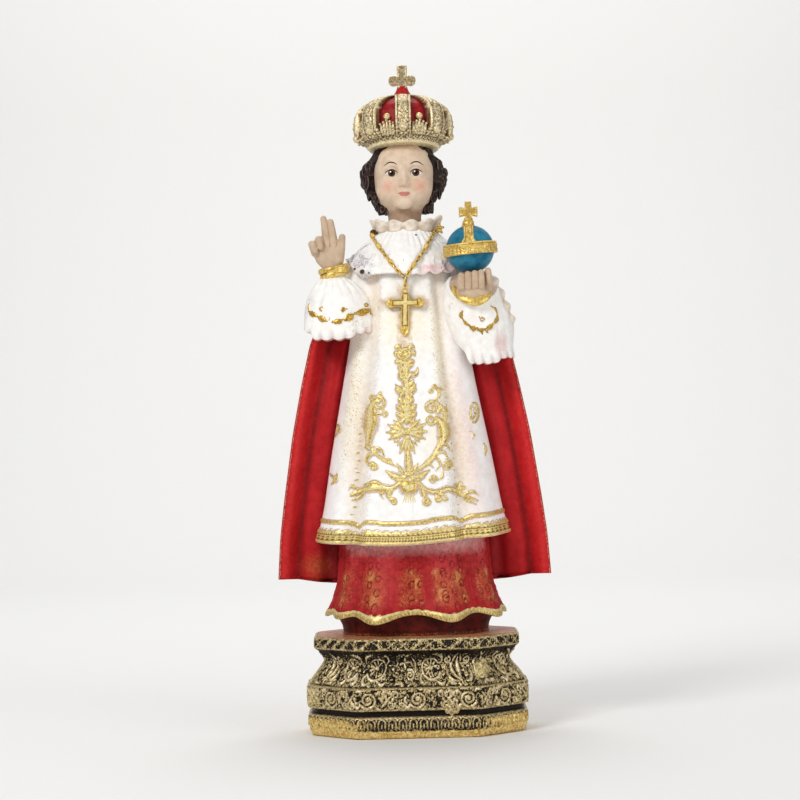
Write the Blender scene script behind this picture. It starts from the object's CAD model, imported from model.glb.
import math

import bpy
import numpy as np
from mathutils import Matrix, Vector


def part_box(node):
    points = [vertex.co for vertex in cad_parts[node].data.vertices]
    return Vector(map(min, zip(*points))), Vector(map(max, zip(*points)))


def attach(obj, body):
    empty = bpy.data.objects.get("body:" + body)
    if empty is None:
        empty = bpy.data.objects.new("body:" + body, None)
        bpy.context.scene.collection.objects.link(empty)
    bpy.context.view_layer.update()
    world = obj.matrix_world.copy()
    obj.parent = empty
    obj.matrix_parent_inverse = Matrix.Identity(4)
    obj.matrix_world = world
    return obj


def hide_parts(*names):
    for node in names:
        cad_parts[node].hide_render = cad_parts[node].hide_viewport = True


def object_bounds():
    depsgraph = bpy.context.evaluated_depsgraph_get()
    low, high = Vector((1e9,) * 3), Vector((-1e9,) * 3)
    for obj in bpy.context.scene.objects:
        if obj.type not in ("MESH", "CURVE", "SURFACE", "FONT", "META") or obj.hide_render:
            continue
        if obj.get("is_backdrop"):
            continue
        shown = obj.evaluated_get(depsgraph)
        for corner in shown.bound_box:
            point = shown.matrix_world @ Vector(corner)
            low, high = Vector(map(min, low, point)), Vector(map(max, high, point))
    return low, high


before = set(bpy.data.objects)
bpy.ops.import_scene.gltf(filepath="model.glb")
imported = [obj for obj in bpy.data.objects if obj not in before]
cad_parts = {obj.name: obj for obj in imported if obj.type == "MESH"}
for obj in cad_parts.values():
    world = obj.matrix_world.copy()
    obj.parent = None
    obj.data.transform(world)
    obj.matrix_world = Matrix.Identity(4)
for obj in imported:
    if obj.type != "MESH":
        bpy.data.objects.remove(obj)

import openvdb

# The statuette is drawn in millimetres, and its height comes from the frame
cad_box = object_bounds()
STATUE_HEIGHT = 300
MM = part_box("statue")[1][2] / STATUE_HEIGHT
PLINTH_TOP = 44


# Camera
# Level with the gown, with a portrait lens from a little over a metre. The view rolls a
# little, so the figure leans to the left in it.
EYE_LEVEL = 148.8
CAMERA_DISTANCE = 1200
CAMERA_ASIDE = -4.75
CAMERA_ROLL = 1.4
LENS = 119.5
FILM_WIDTH = 36

camera_data = bpy.data.cameras.new("camera")
camera_data.sensor_width = FILM_WIDTH
camera_data.lens = LENS
camera = bpy.data.objects.new("camera", camera_data)
camera.location = (CAMERA_ASIDE * MM, -CAMERA_DISTANCE * MM, EYE_LEVEL * MM)
camera.rotation_euler = (math.radians(90), math.radians(CAMERA_ROLL), 0)
bpy.context.collection.objects.link(camera)
bpy.context.scene.camera = camera


# Floor and light
# A white paper sweep under and behind the figure, one large soft box high in front on the
# left, a weaker one on the right, one on the sweep, and even light from all round.
FLOOR_REACH = 1600
SWEEP_START = 1000
SWEEP_RADIUS = 450
SWEEP_TOP = 1300
GOWN_MIDDLE = (0, 0, 150)
ROOM_LIGHT = 0.42


def srgb(code):
    """Turns an sRGB hex colour to linear."""
    channels = [int(code[i : i + 2], 16) / 255 for i in (1, 3, 5)]
    return [c / 12.92 if c <= 0.04045 else ((c + 0.055) / 1.055) ** 2.4 for c in channels] + [1.0]


def add(tree, kind, inputs=None, **settings):
    """Adds a node, sets it up and links what is given for its inputs."""
    node = tree.nodes.new(kind)
    for name, value in settings.items():
        setattr(node, name, value)
    for key, value in (inputs or {}).items():
        if isinstance(value, bpy.types.NodeSocket):
            tree.links.new(value, node.inputs[key])
        else:
            node.inputs[key].default_value = value
    return node


def paper():
    """Matt white paper: it gives an even pale ground with soft shadows."""
    material = bpy.data.materials.new("matt_paper")
    material.use_nodes = True
    tree = material.node_tree
    shader = tree.nodes["Principled BSDF"]
    fibre = add(tree, "ShaderNodeTexNoise", {"Scale": 900.0, "Detail": 3.0})
    tones = {0: fibre.outputs["Fac"], 6: srgb("#e8e8e6"), 7: srgb("#ecebea")}
    tone = add(tree, "ShaderNodeMix", tones, data_type="RGBA")
    tree.links.new(tone.outputs[2], shader.inputs["Base Color"])
    shader.inputs["Roughness"].default_value = 0.95
    return material


def sweep():
    turn = np.linspace(0, math.pi / 2, 24)
    line = [(-FLOOR_REACH, 0)]
    line += [(SWEEP_START + SWEEP_RADIUS * math.sin(a), SWEEP_RADIUS * (1 - math.cos(a))) for a in turn]
    line += [(SWEEP_START + SWEEP_RADIUS, SWEEP_TOP)]
    points = [(x * MM, y * MM, z * MM) for y, z in line for x in (-FLOOR_REACH, FLOOR_REACH)]
    faces = [(2 * i, 2 * i + 1, 2 * i + 3, 2 * i + 2) for i in range(len(line) - 1)]
    mesh = bpy.data.meshes.new("floor")
    mesh.from_pydata(points, [], faces)
    mesh.shade_smooth()
    mesh.materials.append(paper())
    floor = bpy.data.objects.new("floor", mesh)
    bpy.context.collection.objects.link(floor)
    return floor


sweep()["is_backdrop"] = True


def soft_box(name, place, aim, size, power):
    light = bpy.data.lights.new(name, "AREA")
    light.size = size * MM
    light.energy = power
    lamp = bpy.data.objects.new(name, light)
    lamp.location = [c * MM for c in place]
    away = lamp.location.copy()
    away -= type(away)([c * MM for c in aim])
    lamp.rotation_euler = away.to_track_quat("Z", "Y").to_euler()
    bpy.context.collection.objects.link(lamp)


soft_box("key_light", (-560, -860, 820), GOWN_MIDDLE, 380, 7.1)
soft_box("fill_light", (760, -760, 360), GOWN_MIDDLE, 600, 2.7)
soft_box("sweep_light", (0, 560, 1300), (0, 1200, 150), 800, 9.8)

world = bpy.data.worlds.new("studio")
bpy.context.scene.world = world
world.use_nodes = True
room = world.node_tree.nodes["Background"].inputs
room["Color"].default_value = srgb("#fdfdfc")
room["Strength"].default_value = ROOM_LIGHT
bpy.context.scene.view_settings.view_transform = "Standard"


# Plinth
# Eight-sided, cast with the figure. Its bands are carved with scrolls, painted black and
# dry-brushed with gold that catches only what stands proud.
PLINTH_WIDTH = 97.6
PLINTH_DEPTH = 72
PLINTH_CORNER = 21
HALF_WIDTH = PLINTH_WIDTH / 2
HALF_DEPTH = PLINTH_DEPTH / 2
FLAT_X = HALF_WIDTH - PLINTH_CORNER
FLAT_Y = HALF_DEPTH - PLINTH_CORNER
FOOT_BAND = (4, 9.2)
BROAD_BAND = (12.6, 22.2)
HOLLOW = (23, 37.6)
TOP_BAND = (38.8, 43.4)


def held(value):
    """Keeps a value from 0 to 1."""
    return np.clip(value, 0, 1)


def smooth(value, low, high):
    """Rises from 0 to 1 between two values."""
    share = held((value - low) / (high - low))
    return share * share * (3 - 2 * share)


def bell(distance, width):
    return np.exp(-((distance / width) ** 2))


def line_through(points, spacing=0.4):
    """A smooth line through a few points."""
    points = np.array(points, float)
    reach = np.r_[0, np.cumsum(np.linalg.norm(np.diff(points, axis=0), axis=1))]
    slope = np.gradient(points, reach, axis=0)
    place = np.linspace(0, reach[-1], max(3, int(reach[-1] / spacing) + 1))
    i = np.clip(np.searchsorted(reach, place) - 1, 0, len(reach) - 2)
    span = (reach[i + 1] - reach[i])[:, None]
    t = (place - reach[i])[:, None] / span
    start = (2 * t**3 - 3 * t**2 + 1) * points[i] + (t**3 - 2 * t**2 + t) * span * slope[i]
    return start + (3 * t**2 - 2 * t**3) * points[i + 1] + (t**3 - t**2) * span * slope[i + 1]


def stem(points, width, start=0.5, end=0.3):
    """A carved stem [x, z, width] that swells in the middle."""
    line = line_through(points)
    share = np.linspace(0, 1, len(line))
    swell = np.where(
        share < 0.5, start + (1 - start) * smooth(share, 0, 0.5), end + (1 - end) * smooth(1 - share, 0, 0.5)
    )
    return np.c_[line, width * swell]


def rays(x, z, inner, outer, angles, width, start, end):
    """Stems that run out from a centre at some angles."""
    ways = [(math.cos(a), math.sin(a)) for a in np.radians(angles)]
    ends = [[(x + r * across, z + r * up) for r in (inner, outer)] for across, up in ways]
    return [stem(line, width, start, end) for line in ends]


def curl(x, z, outer, inner, start, turns, width):
    """A carved spiral [x, z, width] round a centre, from its outer end inwards."""
    steps = max(10, int(abs(turns) * 22))
    angle = np.radians(start) + np.linspace(0, 2 * math.pi * turns, steps)
    radius = np.linspace(outer, inner, steps)
    return np.c_[
        x + radius * np.cos(angle), z + radius * np.sin(angle), np.linspace(width, 0.75 * width, steps)
    ]


def carve(u, w, lines):
    """Height, 0 to 1, of rounded carved lines at the places u, w."""
    u, w = np.broadcast_arrays(u, w)
    best = np.zeros(u.shape)
    for line in lines:
        reach = line[:, 2].max() / 2
        low = line[:, :2].min(0) - reach
        high = line[:, :2].max(0) + reach
        near = (u > low[0]) & (u < high[0]) & (w > low[1]) & (w < high[1])
        if not near.any():
            continue
        place = np.c_[u[near], w[near]][:, None]
        start = line[None, :-1, :2]
        run = line[None, 1:, :2] - start
        t = held(((place - start) * run).sum(2) / np.maximum((run**2).sum(2), 1e-9))
        away = ((place - start - t[..., None] * run) ** 2).sum(2)
        half = (line[None, :-1, 2] * (1 - t) + line[None, 1:, 2] * t) / 2
        best[near] = np.maximum(best[near], (1 - away / half**2).max(1))
    return np.sqrt(np.maximum(best, 0))


def flipped(lines, x=1, z=1):
    return [line * (x, z, 1) for line in lines]


def large_scroll():
    return [
        curl(0, 0, 3.9, 0.5, -150, 1.9, 1.15),
        curl(0, 0, 0.3, 0.2, 0, 1, 1.5),
        stem([(-3, -2.4), (-4.4, -3.9), (-6, -4.2)], 1.2),
        stem([(2.4, 3), (4.2, 4), (6, 3.7)], 1.2),
        stem([(3.4, -2.2), (4.8, -3.4), (5.4, -1.4)], 1.4),
        stem([(-3.6, 2.4), (-4.9, 3.5), (-5.3, 1.5)], 1.4),
        stem([(1, -4.2), (2.4, -4.4), (3.6, -4.3)], 1),
        stem([(-1, 4.3), (-2.4, 4.4), (-3.6, 4.2)], 1),
        stem([(-4.6, -1.8), (-5.6, -0.4)], 1.3, 0.3, 0.9),
        stem([(4.8, 1.6), (5.7, 0.2)], 1.3, 0.3, 0.9),
    ]


def small_scroll():
    half = [
        curl(0.9, 2.1, 1.8, 0.5, 200, -1.35, 0.95),
        stem([(-0.9, 1.4), (-2.4, 0.2), (-3.6, -1.6), (-5.5, -3.6)], 1.3),
        stem([(-2.8, 4.2), (-1.6, 2.6), (-1.4, 4)], 1.1),
        curl(-3.6, 2.2, 1.5, 0.4, 40, 1.2, 0.9),
        stem([(-5.4, 0.6), (-4.6, -0.6), (-5.2, -1.8)], 1.2),
    ]
    return half + flipped(half, -1, -1) + [curl(0, 0, 0.2, 0.1, 0, 1, 1.4)]


def fan_scroll():
    return rays(0, 0, 1.1, 3.5, range(-80, 166, 35), 1, 0.4, 0.9) + [
        curl(0, 0, 4.8, 4.4, 205, 0.85, 1.2),
        curl(0, 0, 0.4, 0.2, 0, 1, 1.6),
        stem([(-4.4, -2), (-5.6, -4.2), (-4, -6.2), (-2, -5.4)], 1.4),
        stem([(4.6, 1.6), (6, 3.8), (5, 6), (3.2, 5.2)], 1.3),
        stem([(1.6, -5), (4.2, -6.4), (6.2, -5.2)], 1.4),
        stem([(-5.8, 2.2), (-5.4, 4.8), (-3, 6.2), (-1, 6.6)], 1.2),
        curl(4.2, -3.6, 1.2, 0.3, 60, 1.1, 0.8),
    ]


def flower_cluster():
    petals = rays(0, 2.2, 0.4, 2.3, range(12, 360, 90), 1.5, 0.5, 0.8)
    half = [
        curl(-3, -2.8, 2.4, 0.5, 60, 1.5, 1),
        stem([(-5.6, -1.6), (-5.4, 2.4), (-3.6, 5.6)], 1.3),
        stem([(-4.4, 0.6), (-3.4, 2.6), (-4.2, 4)], 1.1),
        stem([(-3.4, -6.2), (-1.4, -5.6), (0, -6.4)], 1.3),
        stem([(-2.6, 6.6), (-1.2, 5.6), (0, 6.6)], 1.1),
    ]
    return petals + half + flipped(half, -1)


def leaf_cluster():
    half = [
        stem([(0.5, -5), (2.6, -2.6), (3.4, 0.4), (2.2, 2.6)], 1.9, 0.3, 0.3),
        stem([(1.2, -5.6), (4, -5), (5.8, -2.6), (5.6, -0.6)], 1.5, 0.3, 0.4),
        curl(4.6, 3.6, 2, 0.6, -120, 1.3, 1),
        stem([(2.2, 2.6), (1.6, 4.6), (0.6, 6.2)], 1.3),
        stem([(3, -6.4), (5.2, -6), (6, -4.4)], 1.1),
    ]
    return half + flipped(half, -1) + [stem([(0, -6.2), (0, 0.6), (0, 4.8)], 2.4, 0.3, 0.3)]


def vine():
    return [
        stem([(-3.1, -1.5), (-1.6, -1.2), (0, 0), (1.6, 1.2), (3.1, 1.5)], 0.75, 0.8, 0.8),
        curl(-1.5, 0.7, 1.2, 0.3, -60, 1.2, 0.65),
        curl(1.5, -0.7, 1.2, 0.3, 120, 1.2, 0.65),
    ]


def tongue():
    return [
        curl(0, 0.7, 1.5, 1.5, 0, 0.5, 0.8),
        stem([(-1.5, 0.7), (-1.6, -2.2)], 0.8, 0.8, 0.5),
        stem([(1.5, 0.7), (1.6, -2.2)], 0.8, 0.8, 0.5),
        stem([(0, -2), (0, -0.2)], 0.9, 0.5, 0.8),
        curl(2.3, 2, 0.1, 0.1, 0, 1, 0.9),
    ]


def strewn(length, height, seed, spacing):
    """Small curls and leaves carved all over a band, to fill in between its large ones."""
    seeds = np.random.default_rng(seed)
    lines = []
    for x in np.arange(0.6 - length / 2, length / 2 - 0.4, spacing):
        for z in np.arange(0.8 - height / 2, height / 2 - 0.4, spacing):
            u, w = x + seeds.uniform(-0.6, 0.6), z + seeds.uniform(-0.5, 0.5)
            start, reach, width = seeds.uniform(0, 360), seeds.uniform(0.7, 1.2), seeds.uniform(0.5, 0.9)
            if seeds.random() < 0.5:
                lines.append(curl(u, w, reach, 0.25, start, seeds.choice([-1.1, 1.1]), width))
            else:
                a = math.radians(start)
                across, up = 1.2 * reach * math.cos(a), 1.2 * reach * math.sin(a)
                bend = [(u - across, w - up), (u + 0.3 * up, w - 0.3 * across), (u + across, w + up)]
                lines.append(stem(bend, width))
    return lines


def row_of(units, length, pitch, seed, shaken=0.3):
    """A row of motifs along one face, each turned over and shifted a little at random."""
    seeds = np.random.default_rng(seed)
    count = max(1, round(length / pitch))
    lines = []
    for n in range(count):
        shift = (n + 0.5) * length / count - length / 2 + seeds.uniform(-shaken, shaken)
        lines += [
            line * (seeds.choice([-1, 1]) if shaken else 1, 1, 1) + (shift, 0, 0)
            for line in units[(n + seed) % len(units)]
        ]
    return lines


def widened(lines, times):
    return [line * (1, 1, times) for line in lines]


def plinth_outline(columns):
    """The plan, walked from the middle of the front: its points, each one's face and place on that face."""
    quarter = [(FLAT_X, -HALF_DEPTH), (HALF_WIDTH, -FLAT_Y), (HALF_WIDTH, FLAT_Y), (FLAT_X, HALF_DEPTH)]
    corners = quarter + [(-x, -y) for x, y in quarter]
    path = np.array([(0, -HALF_DEPTH)] + corners + [(0, -HALF_DEPTH)])
    reach = np.r_[0, np.cumsum(np.linalg.norm(np.diff(path, axis=0), axis=1))]
    share = np.arange(columns) / columns
    place = (share - 0.045 * np.sin(2 * math.pi * share)) * reach[-1]
    soften = np.linspace(-2.4, 2.4, 9)
    plan = np.zeros((columns, 2))
    for shift in soften:
        for axis in (0, 1):
            plan[:, axis] += np.interp(place + shift, reach, path[:, axis], period=reach[-1]) / len(soften)
    face = np.searchsorted(reach[1:-1], place) % 8
    starts = np.r_[reach[8] - reach[9], reach[1:8]]
    ends = np.r_[reach[1], reach[2:9]]
    wrapped = np.where(place > reach[8], place - reach[9], place)
    return plan, face, wrapped - (starts[face] + ends[face]) / 2, ends - starts


def rings(points, low=True, high=True):
    """A skin over rings of points, the lowest first, closed at its ends."""
    rows, around = grid = points.shape[:2]
    row, column = np.meshgrid(np.arange(rows - 1), np.arange(around), indexing="ij")
    here = row * around + column
    beside = row * around + (column + 1) % around
    quads = np.stack([here, beside, beside + around, here + around], -1).reshape(-1, 4)
    flat = points.reshape(-1, 3)
    tris = [np.zeros((0, 3), int)]
    turn = np.arange(around)
    if low:
        tris.append(np.c_[(turn + 1) % around, turn, np.full(around, len(flat))])
        flat = np.r_[flat, points[0].mean(0)[None]]
    if high:
        top = (rows - 1) * around
        tris.append(np.c_[top + turn, top + (turn + 1) % around, np.full(around, len(flat))])
        flat = np.r_[flat, points[-1].mean(0)[None]]
    return {"points": flat, "quads": quads, "tris": np.concatenate(tris), "grid": grid, "masks": {}}


def masked(shape, **masks):
    """Gives a shape the places where its coats of paint lie, one value for each point or for all."""
    spare = len(shape["points"]) - math.prod(shape["grid"])
    for name, value in masks.items():
        value = np.broadcast_to(value, shape["grid"]).astype(float).ravel()
        shape["masks"][name] = np.r_[value, np.full(spare, value.mean())]
    return shape


def raised(points, height):
    """Moves rings of points out along their normals."""
    across = np.roll(points, -1, 1) - np.roll(points, 1, 1)
    up = np.gradient(points, axis=0)
    normal = np.cross(across, up)
    normal /= np.maximum(np.linalg.norm(normal, axis=2, keepdims=True), 1e-9)
    return points + normal * np.asarray(height)[..., None]


def cast(name, shapes, material, stands_at=PLINTH_TOP):
    """Makes one piece of the casting from shapes in mm, with heights from the plinth's top or floor."""
    starts = np.r_[0, np.cumsum([len(s["points"]) for s in shapes])]
    points = np.concatenate([s["points"] for s in shapes]) + (0, 0, stands_at)
    quads, tris = (
        np.concatenate([s[kind] + start for s, start in zip(shapes, starts)]) for kind in ("quads", "tris")
    )
    mesh = bpy.data.meshes.new(name)
    mesh.vertices.add(len(points))
    mesh.vertices.foreach_set("co", (points * MM).astype(np.float32).ravel())
    mesh.loops.add(quads.size + tris.size)
    mesh.loops.foreach_set("vertex_index", np.r_[quads.ravel(), tris.ravel()].astype(np.int32))
    mesh.polygons.add(len(quads) + len(tris))
    corners = np.r_[np.arange(len(quads)) * 4, quads.size + np.arange(len(tris)) * 3]
    mesh.polygons.foreach_set("loop_start", corners.astype(np.int32))
    mesh.update(calc_edges=True)
    mesh.shade_smooth()
    for mask in sorted({m for s in shapes for m in s["masks"]}):
        layer = mesh.attributes.new(mask, "FLOAT", "POINT")
        values = [s["masks"].get(mask, np.zeros(len(s["points"]))) for s in shapes]
        layer.data.foreach_set("value", np.concatenate(values).astype(np.float32))
    mesh.materials.append(material)
    piece = bpy.data.objects.new(name, mesh)
    bpy.context.collection.objects.link(piece)
    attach(piece, "root")
    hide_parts("statue")
    return piece


def coat(
    dark, light, rough, metal=0, mottle=1.5, mask=None, ragged=0.6, patch=0.7, edge=(0.35, 0.65), most=1
):
    """A coat of paint: two tones, mottled in patches of a size in mm, laid where its mask is.

    Its edge is torn by patches of the ragged size, and most is how well it covers at its best.
    """
    return locals()


def paint(name, ground, *coats, grit=0.5, depth=0.03, gloss=0.12):
    """Paint over cast resin: a ground coat, then later coats, each laid where its mask is.

    Grit is the grain of the cast surface that shows through the paint, and its depth, in mm.
    Gloss is how much the paint mirrors, where 0.5 is a varnish.
    """
    material = bpy.data.materials.new(name)
    material.use_nodes = True
    tree = material.node_tree
    shader = tree.nodes["Principled BSDF"]
    where = add(tree, "ShaderNodeTexCoord").outputs["Object"]

    def patches(size, detail):
        inputs = {"Vector": where, "Scale": 1 / (size * MM), "Detail": detail, "Roughness": 0.6}
        return add(tree, "ShaderNodeTexNoise", inputs).outputs["Fac"]

    def mixed(share, low, high, **settings):
        slots = {0: share, 6: low, 7: high} if settings else {0: share, 2: low, 3: high}
        return add(tree, "ShaderNodeMix", slots, **settings).outputs[2 if settings else 0]

    def tone(layer):
        share = add(
            tree, "ShaderNodeMapRange", {0: patches(layer["mottle"], 4.0), 1: 0.36, 2: 0.64}
        ).outputs[0]
        return mixed(share, srgb(layer["dark"]), srgb(layer["light"]), data_type="RGBA")

    colour, rough, metal = tone(ground), ground["rough"], ground["metal"]
    for layer in coats:
        mask = add(tree, "ShaderNodeAttribute", attribute_name=layer["mask"]).outputs["Fac"]
        worn = add(tree, "ShaderNodeMath", {0: patches(layer["patch"], 3.0), 1: 0.5}, operation="SUBTRACT")
        torn = {0: worn.outputs[0], 1: layer["ragged"], 2: mask}
        torn = add(tree, "ShaderNodeMath", torn, operation="MULTIPLY_ADD").outputs[0]
        low, high = layer["edge"]
        cover = add(tree, "ShaderNodeMapRange", {0: torn, 1: low, 2: high, 4: layer["most"]}).outputs[0]
        colour = mixed(cover, colour, tone(layer), data_type="RGBA")
        rough = mixed(cover, rough, layer["rough"])
        metal = mixed(cover, metal, layer["metal"]) if metal != layer["metal"] else metal
    for socket, value in (("Base Color", colour), ("Roughness", rough), ("Metallic", metal)):
        if isinstance(value, bpy.types.NodeSocket):
            tree.links.new(value, shader.inputs[socket])
        else:
            shader.inputs[socket].default_value = value
    shader.inputs["Specular IOR Level"].default_value = gloss
    bump = {"Strength": 0.6, "Distance": depth * MM, "Height": patches(grit, 3.0)}
    tree.links.new(add(tree, "ShaderNodeBump", bump).outputs["Normal"], shader.inputs["Normal"])
    return material


def refined(stations, spacing, soften):
    """Fine rows between a few drawn ones, [height, half width, ...], rounded where they meet."""
    stations = np.array(stations, float)
    reach = np.r_[0, np.cumsum(np.hypot(np.diff(stations[:, 0]), np.diff(stations[:, 1])))]
    place = np.linspace(0, reach[-1], int(reach[-1] / spacing) + 2)
    shifts = np.linspace(-soften, soften, 5)
    return np.stack([np.mean([np.interp(place + s, reach, c) for s in shifts], 0) for c in stations.T], 1)


def plinth():
    # [height, how far the wall is set in]
    profile = [
        (0, 2.6), (0.5, 1.3), (2.4, 0.4), (5, 0), (9.2, 0.1), (9.8, 0.6), (9.9, 1.8), (12.2, 1.8),
        (12.3, 0.7), (12.8, 0.1), (17.4, 0), (21.8, 0), (22.4, 0.3), (22.9, 1.2), (25, 3.2),
        (27.5, 5.4), (30.5, 7.4), (32.8, 8.1), (34.6, 7.6), (36.4, 6.1), (37.7, 4.4), (38.4, 3.6),
        (38.9, 3.3), (43.2, 3.3), (43.8, 3.7), (44.05, 4.6), (44.05, 9), (44, 20),
    ]
    rows = refined(profile, 0.52, 0.25)
    rows = rows[(rows[:, 1] < 9) | (rows[:, 0] < 43.8) | (np.arange(len(rows)) % 8 == 0)]
    plan, face, across, lengths = plinth_outline(680)
    inset = rows[:, 1, None]
    x = plan[:, 0] * (HALF_WIDTH - inset) / HALF_WIDTH
    y = plan[:, 1] * (HALF_DEPTH - inset) / HALF_DEPTH
    wall = np.stack(np.broadcast_arrays(x, y, rows[:, 0, None]), -1)
    z = wall[..., 2]
    height = np.zeros(x.shape)

    def band(low, high, depth, tall, draw, filled, spacing):
        """Carves one band on every face, tall being the height that its motifs are drawn for."""
        inside = np.nonzero((rows[:, 0] > low) & (rows[:, 0] < high))[0]
        w = (z[inside, 0] - (low + high) / 2) * tall / (high - low)
        for number, length in enumerate(lengths):
            columns = np.nonzero(face == number)[0]
            large = draw(length, number)
            u = across[columns][None]
            carved = depth * carve(u, w[:, None], large)
            clear = 1 - smooth(carve(u, w[:, None], widened(large, 1.7)), 0.1, 0.7)
            small = filled * clear * carve(u, w[:, None], strewn(length, tall, number + round(low), spacing))
            height[np.ix_(inside, columns)] = np.maximum(carved, small)

    broad = [large_scroll(), small_scroll()]
    tall = [fan_scroll(), flower_cluster(), fan_scroll(), leaf_cluster()]
    band(*FOOT_BAND, 0.55, 5.6, lambda length, n: row_of([tongue()], length, 4.7, n, 0), 0.25, 2.2)
    band(*BROAD_BAND, 0.9, 9.6, lambda length, n: row_of(broad, length, 10.8, n), 0.45, 1.9)
    band(*HOLLOW, 1.05, 13.8, lambda length, n: row_of(tall, length, 12.4, n), 0.5, 1.9)
    band(*TOP_BAND, 0.5, 4.6, lambda length, n: row_of([vine()], length, 6, n), 0.3, 1.7)
    fillets = (
        sum(0.45 * bell(z - level, 0.35) for level in (12.9, 21.9, 38.9, 43.3)) + 0.4 * bell(z - 23.6, 0.3)
    )
    # A drop of gold paint and resin bridges the groove to the right of the middle
    drop = smooth(3 * (z - 9.4) / 2.9 - np.abs(x - 14.8), -0.3, 0.5)
    drop = drop * (z > 9.5) * (z < 12.6) * (face == 0)
    height = np.maximum(np.maximum(height, fillets), 1.7 * drop)
    edges = sum(bell(z - level, 0.5) for level in (9.4, 12.9, 22.2, 38.9, 43.6))
    gold = np.maximum(np.maximum(smooth(height, 0.16, 0.5), 0.85 * edges), drop)
    wave = 0.5 + 0.5 * np.sin(x * 0.16 + 2.2) * np.sin(z * 0.5 + x * 0.07)
    foot_gold = (
        smooth(3.9 - z, 0, 1.6) + (0.42 + 0.43 * smooth(np.abs(x - 2), 20, 38)) * smooth(9.6 - z, 0, 2)
    )
    # The brush hardly reached under the cornice, least of all on the left
    dim = held(bell(z - 36, 3.2) + 0.7 * bell(x + 14, 13) * bell(z - 32, 6))
    on_wall = inset < 9.5
    masks = {
        "gold": gold * smooth(44.0 - z, -0.05, 0.1) * on_wall * (1 - 0.55 * dim),
        "ochre": np.clip(foot_gold, 0, 1.2),
        "speckle": (
            (0.55 + 0.45 * wave) * (1 - 0.25 * dim) * smooth(z, 0, 1) * smooth(43.5 - z, 0, 1) * (inset < 9)
            * (np.abs(z - 11) > 1.2)
        ),
        "smear": (
            bell(x - 28, 6.5) * bell(z - 29, 5) + 0.8 * bell(x + 46, 5) * bell(z - 18, 9)
            + 0.5 * bell(x - 47, 4) * bell(z - 17, 6)
        ),
        "crest": smooth(height, 0.55, 0.85) * (0.55 + 0.45 * wave) * on_wall,
        "top": smooth(inset, 4.0, 4.8) * (z > 43.4),
        "sheen": smooth(inset, 4.2, 5.0) * (z > 43.4) * smooth(12 - inset, 0, 6),
    }
    points = raised(wall, height)
    # Black acrylic. Gold paint, bronze powder in lacquer, is dragged over it almost dry, so it
    # lies on the carving and in stray specks and smears, and thicker and warmer along the foot.
    pale_gold = ("#846a3c", "#ead6a2")
    black_and_gold = paint(
        "black_acrylic_brushed_with_gold",
        coat("#090503", "#1d120b", 0.5, mottle=3),
        coat(
            *pale_gold, 0.42, 0.5, mottle=0.8, mask="speckle", ragged=3, patch=0.62, edge=(1.08, 1.26),
            most=0.9,
        ),
        coat(*pale_gold, 0.4, 0.55, mottle=0.9, mask="gold", ragged=1.1, patch=0.8, edge=(0.3, 0.6)),
        coat(
            "#b88c40", "#f6de96", 0.42, 0.4, mottle=1.2, mask="ochre", ragged=1.5, patch=1.5,
            edge=(0.5, 0.8),
        ),
        coat(
            "#d8bf8c", "#fbf0d2", 0.4, 0.3, mask="crest", ragged=1.6, patch=0.9, edge=(0.45, 0.9), most=0.9,
        ),
        coat("#cdb068", "#faeebc", 0.4, 0.3, mask="smear", ragged=1.5, patch=1, edge=(0.55, 0.95), most=0.9),
        coat("#b05c3e", "#e09c72", 0.42, 0.1, mottle=2.4, mask="top", ragged=0.3, edge=(0.3, 0.6)),
        coat(
            "#a8744a", "#d0a070", 0.36, 0.35, mask="sheen", ragged=1.5, patch=2.2, edge=(0.7, 1.3), most=0.6,
        ),
        gloss=0.18,
    )
    # The casting is skinned in two lengths that meet in the fillet over the broad band
    split = int(np.argmax(rows[:, 0] > 22.6))
    for name, part in (("plinth_foot", slice(0, split + 1)), ("plinth_top", slice(split, None))):
        shape = rings(points[part], low=name == "plinth_foot", high=name == "plinth_top")
        cast(
            name, [masked(shape, **{key: value[part] for key, value in masks.items()})], black_and_gold,
            stands_at=0,
        )


plinth()


# Foot block
# A plain oval block under the skirt that stands for the feet and spreads up to the hem at its
# sides, cast in one with the plinth and painted the dark red of its top.
def sine(degrees):
    return np.sin(np.radians(degrees))


def cosine(degrees):
    return np.cos(np.radians(degrees))


def oval(degrees, half, front, back, out, z, x=0.0, y=0.0):
    """Points round an oval: 0 degrees is the front, and 90 is the +X side."""
    across, forward = sine(degrees), cosine(degrees)
    reach = np.where(forward > 0, front, back)
    return np.stack(np.broadcast_arrays(x + across * (half + out), y - forward * (reach + out), z), -1)


def around(count, crowd=0.0):
    """Degrees round the figure, crowded towards the front, where there is more to show."""
    degrees = np.arange(count) * 360 / count
    return degrees - crowd * sine(degrees)


def foot_block():
    rows = refined([(-2, 33), (0.2, 33), (1, 32.7), (4, 33.2), (11, 36.8), (16, 34)], 0.7, 0.5)
    z, half = rows.T[:, :, None]
    points = oval(around(150), half, 22.8, 21.6, 0, z)
    shape = masked(rings(points), gold=0.9 * bell(z - 0.6, 1.2))
    dark_red = paint(
        "dark_red_acrylic",
        coat("#3d0c08", "#641a10", 0.45, mottle=3),
        coat("#8a5a2c", "#b98a48", 0.4, 0.5, mask="gold", ragged=1.6, edge=(0.7, 1.2), most=0.6),
    )
    cast("foot_block", [shape], dark_red)


foot_block()


# Skirt
# The red under-robe, flared at the hem, where each fold runs out and down. Its brocade is
# carved in low relief: flowers among dark rings, in panels touched with gold and coral.
SKIRT_FOLDS = [
    (-84, 2, 9), (-57, 2.8, 10), (-25, 5.2, 13), (22, 4.6, 12), (62, 3.6, 12), (88, 2, 9),
    (122, 3.4, 13), (160, 3.4, 13), (-160, 3.4, 13), (-122, 3.4, 13),
]
SKIRT_HEM = 9.4


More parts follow.
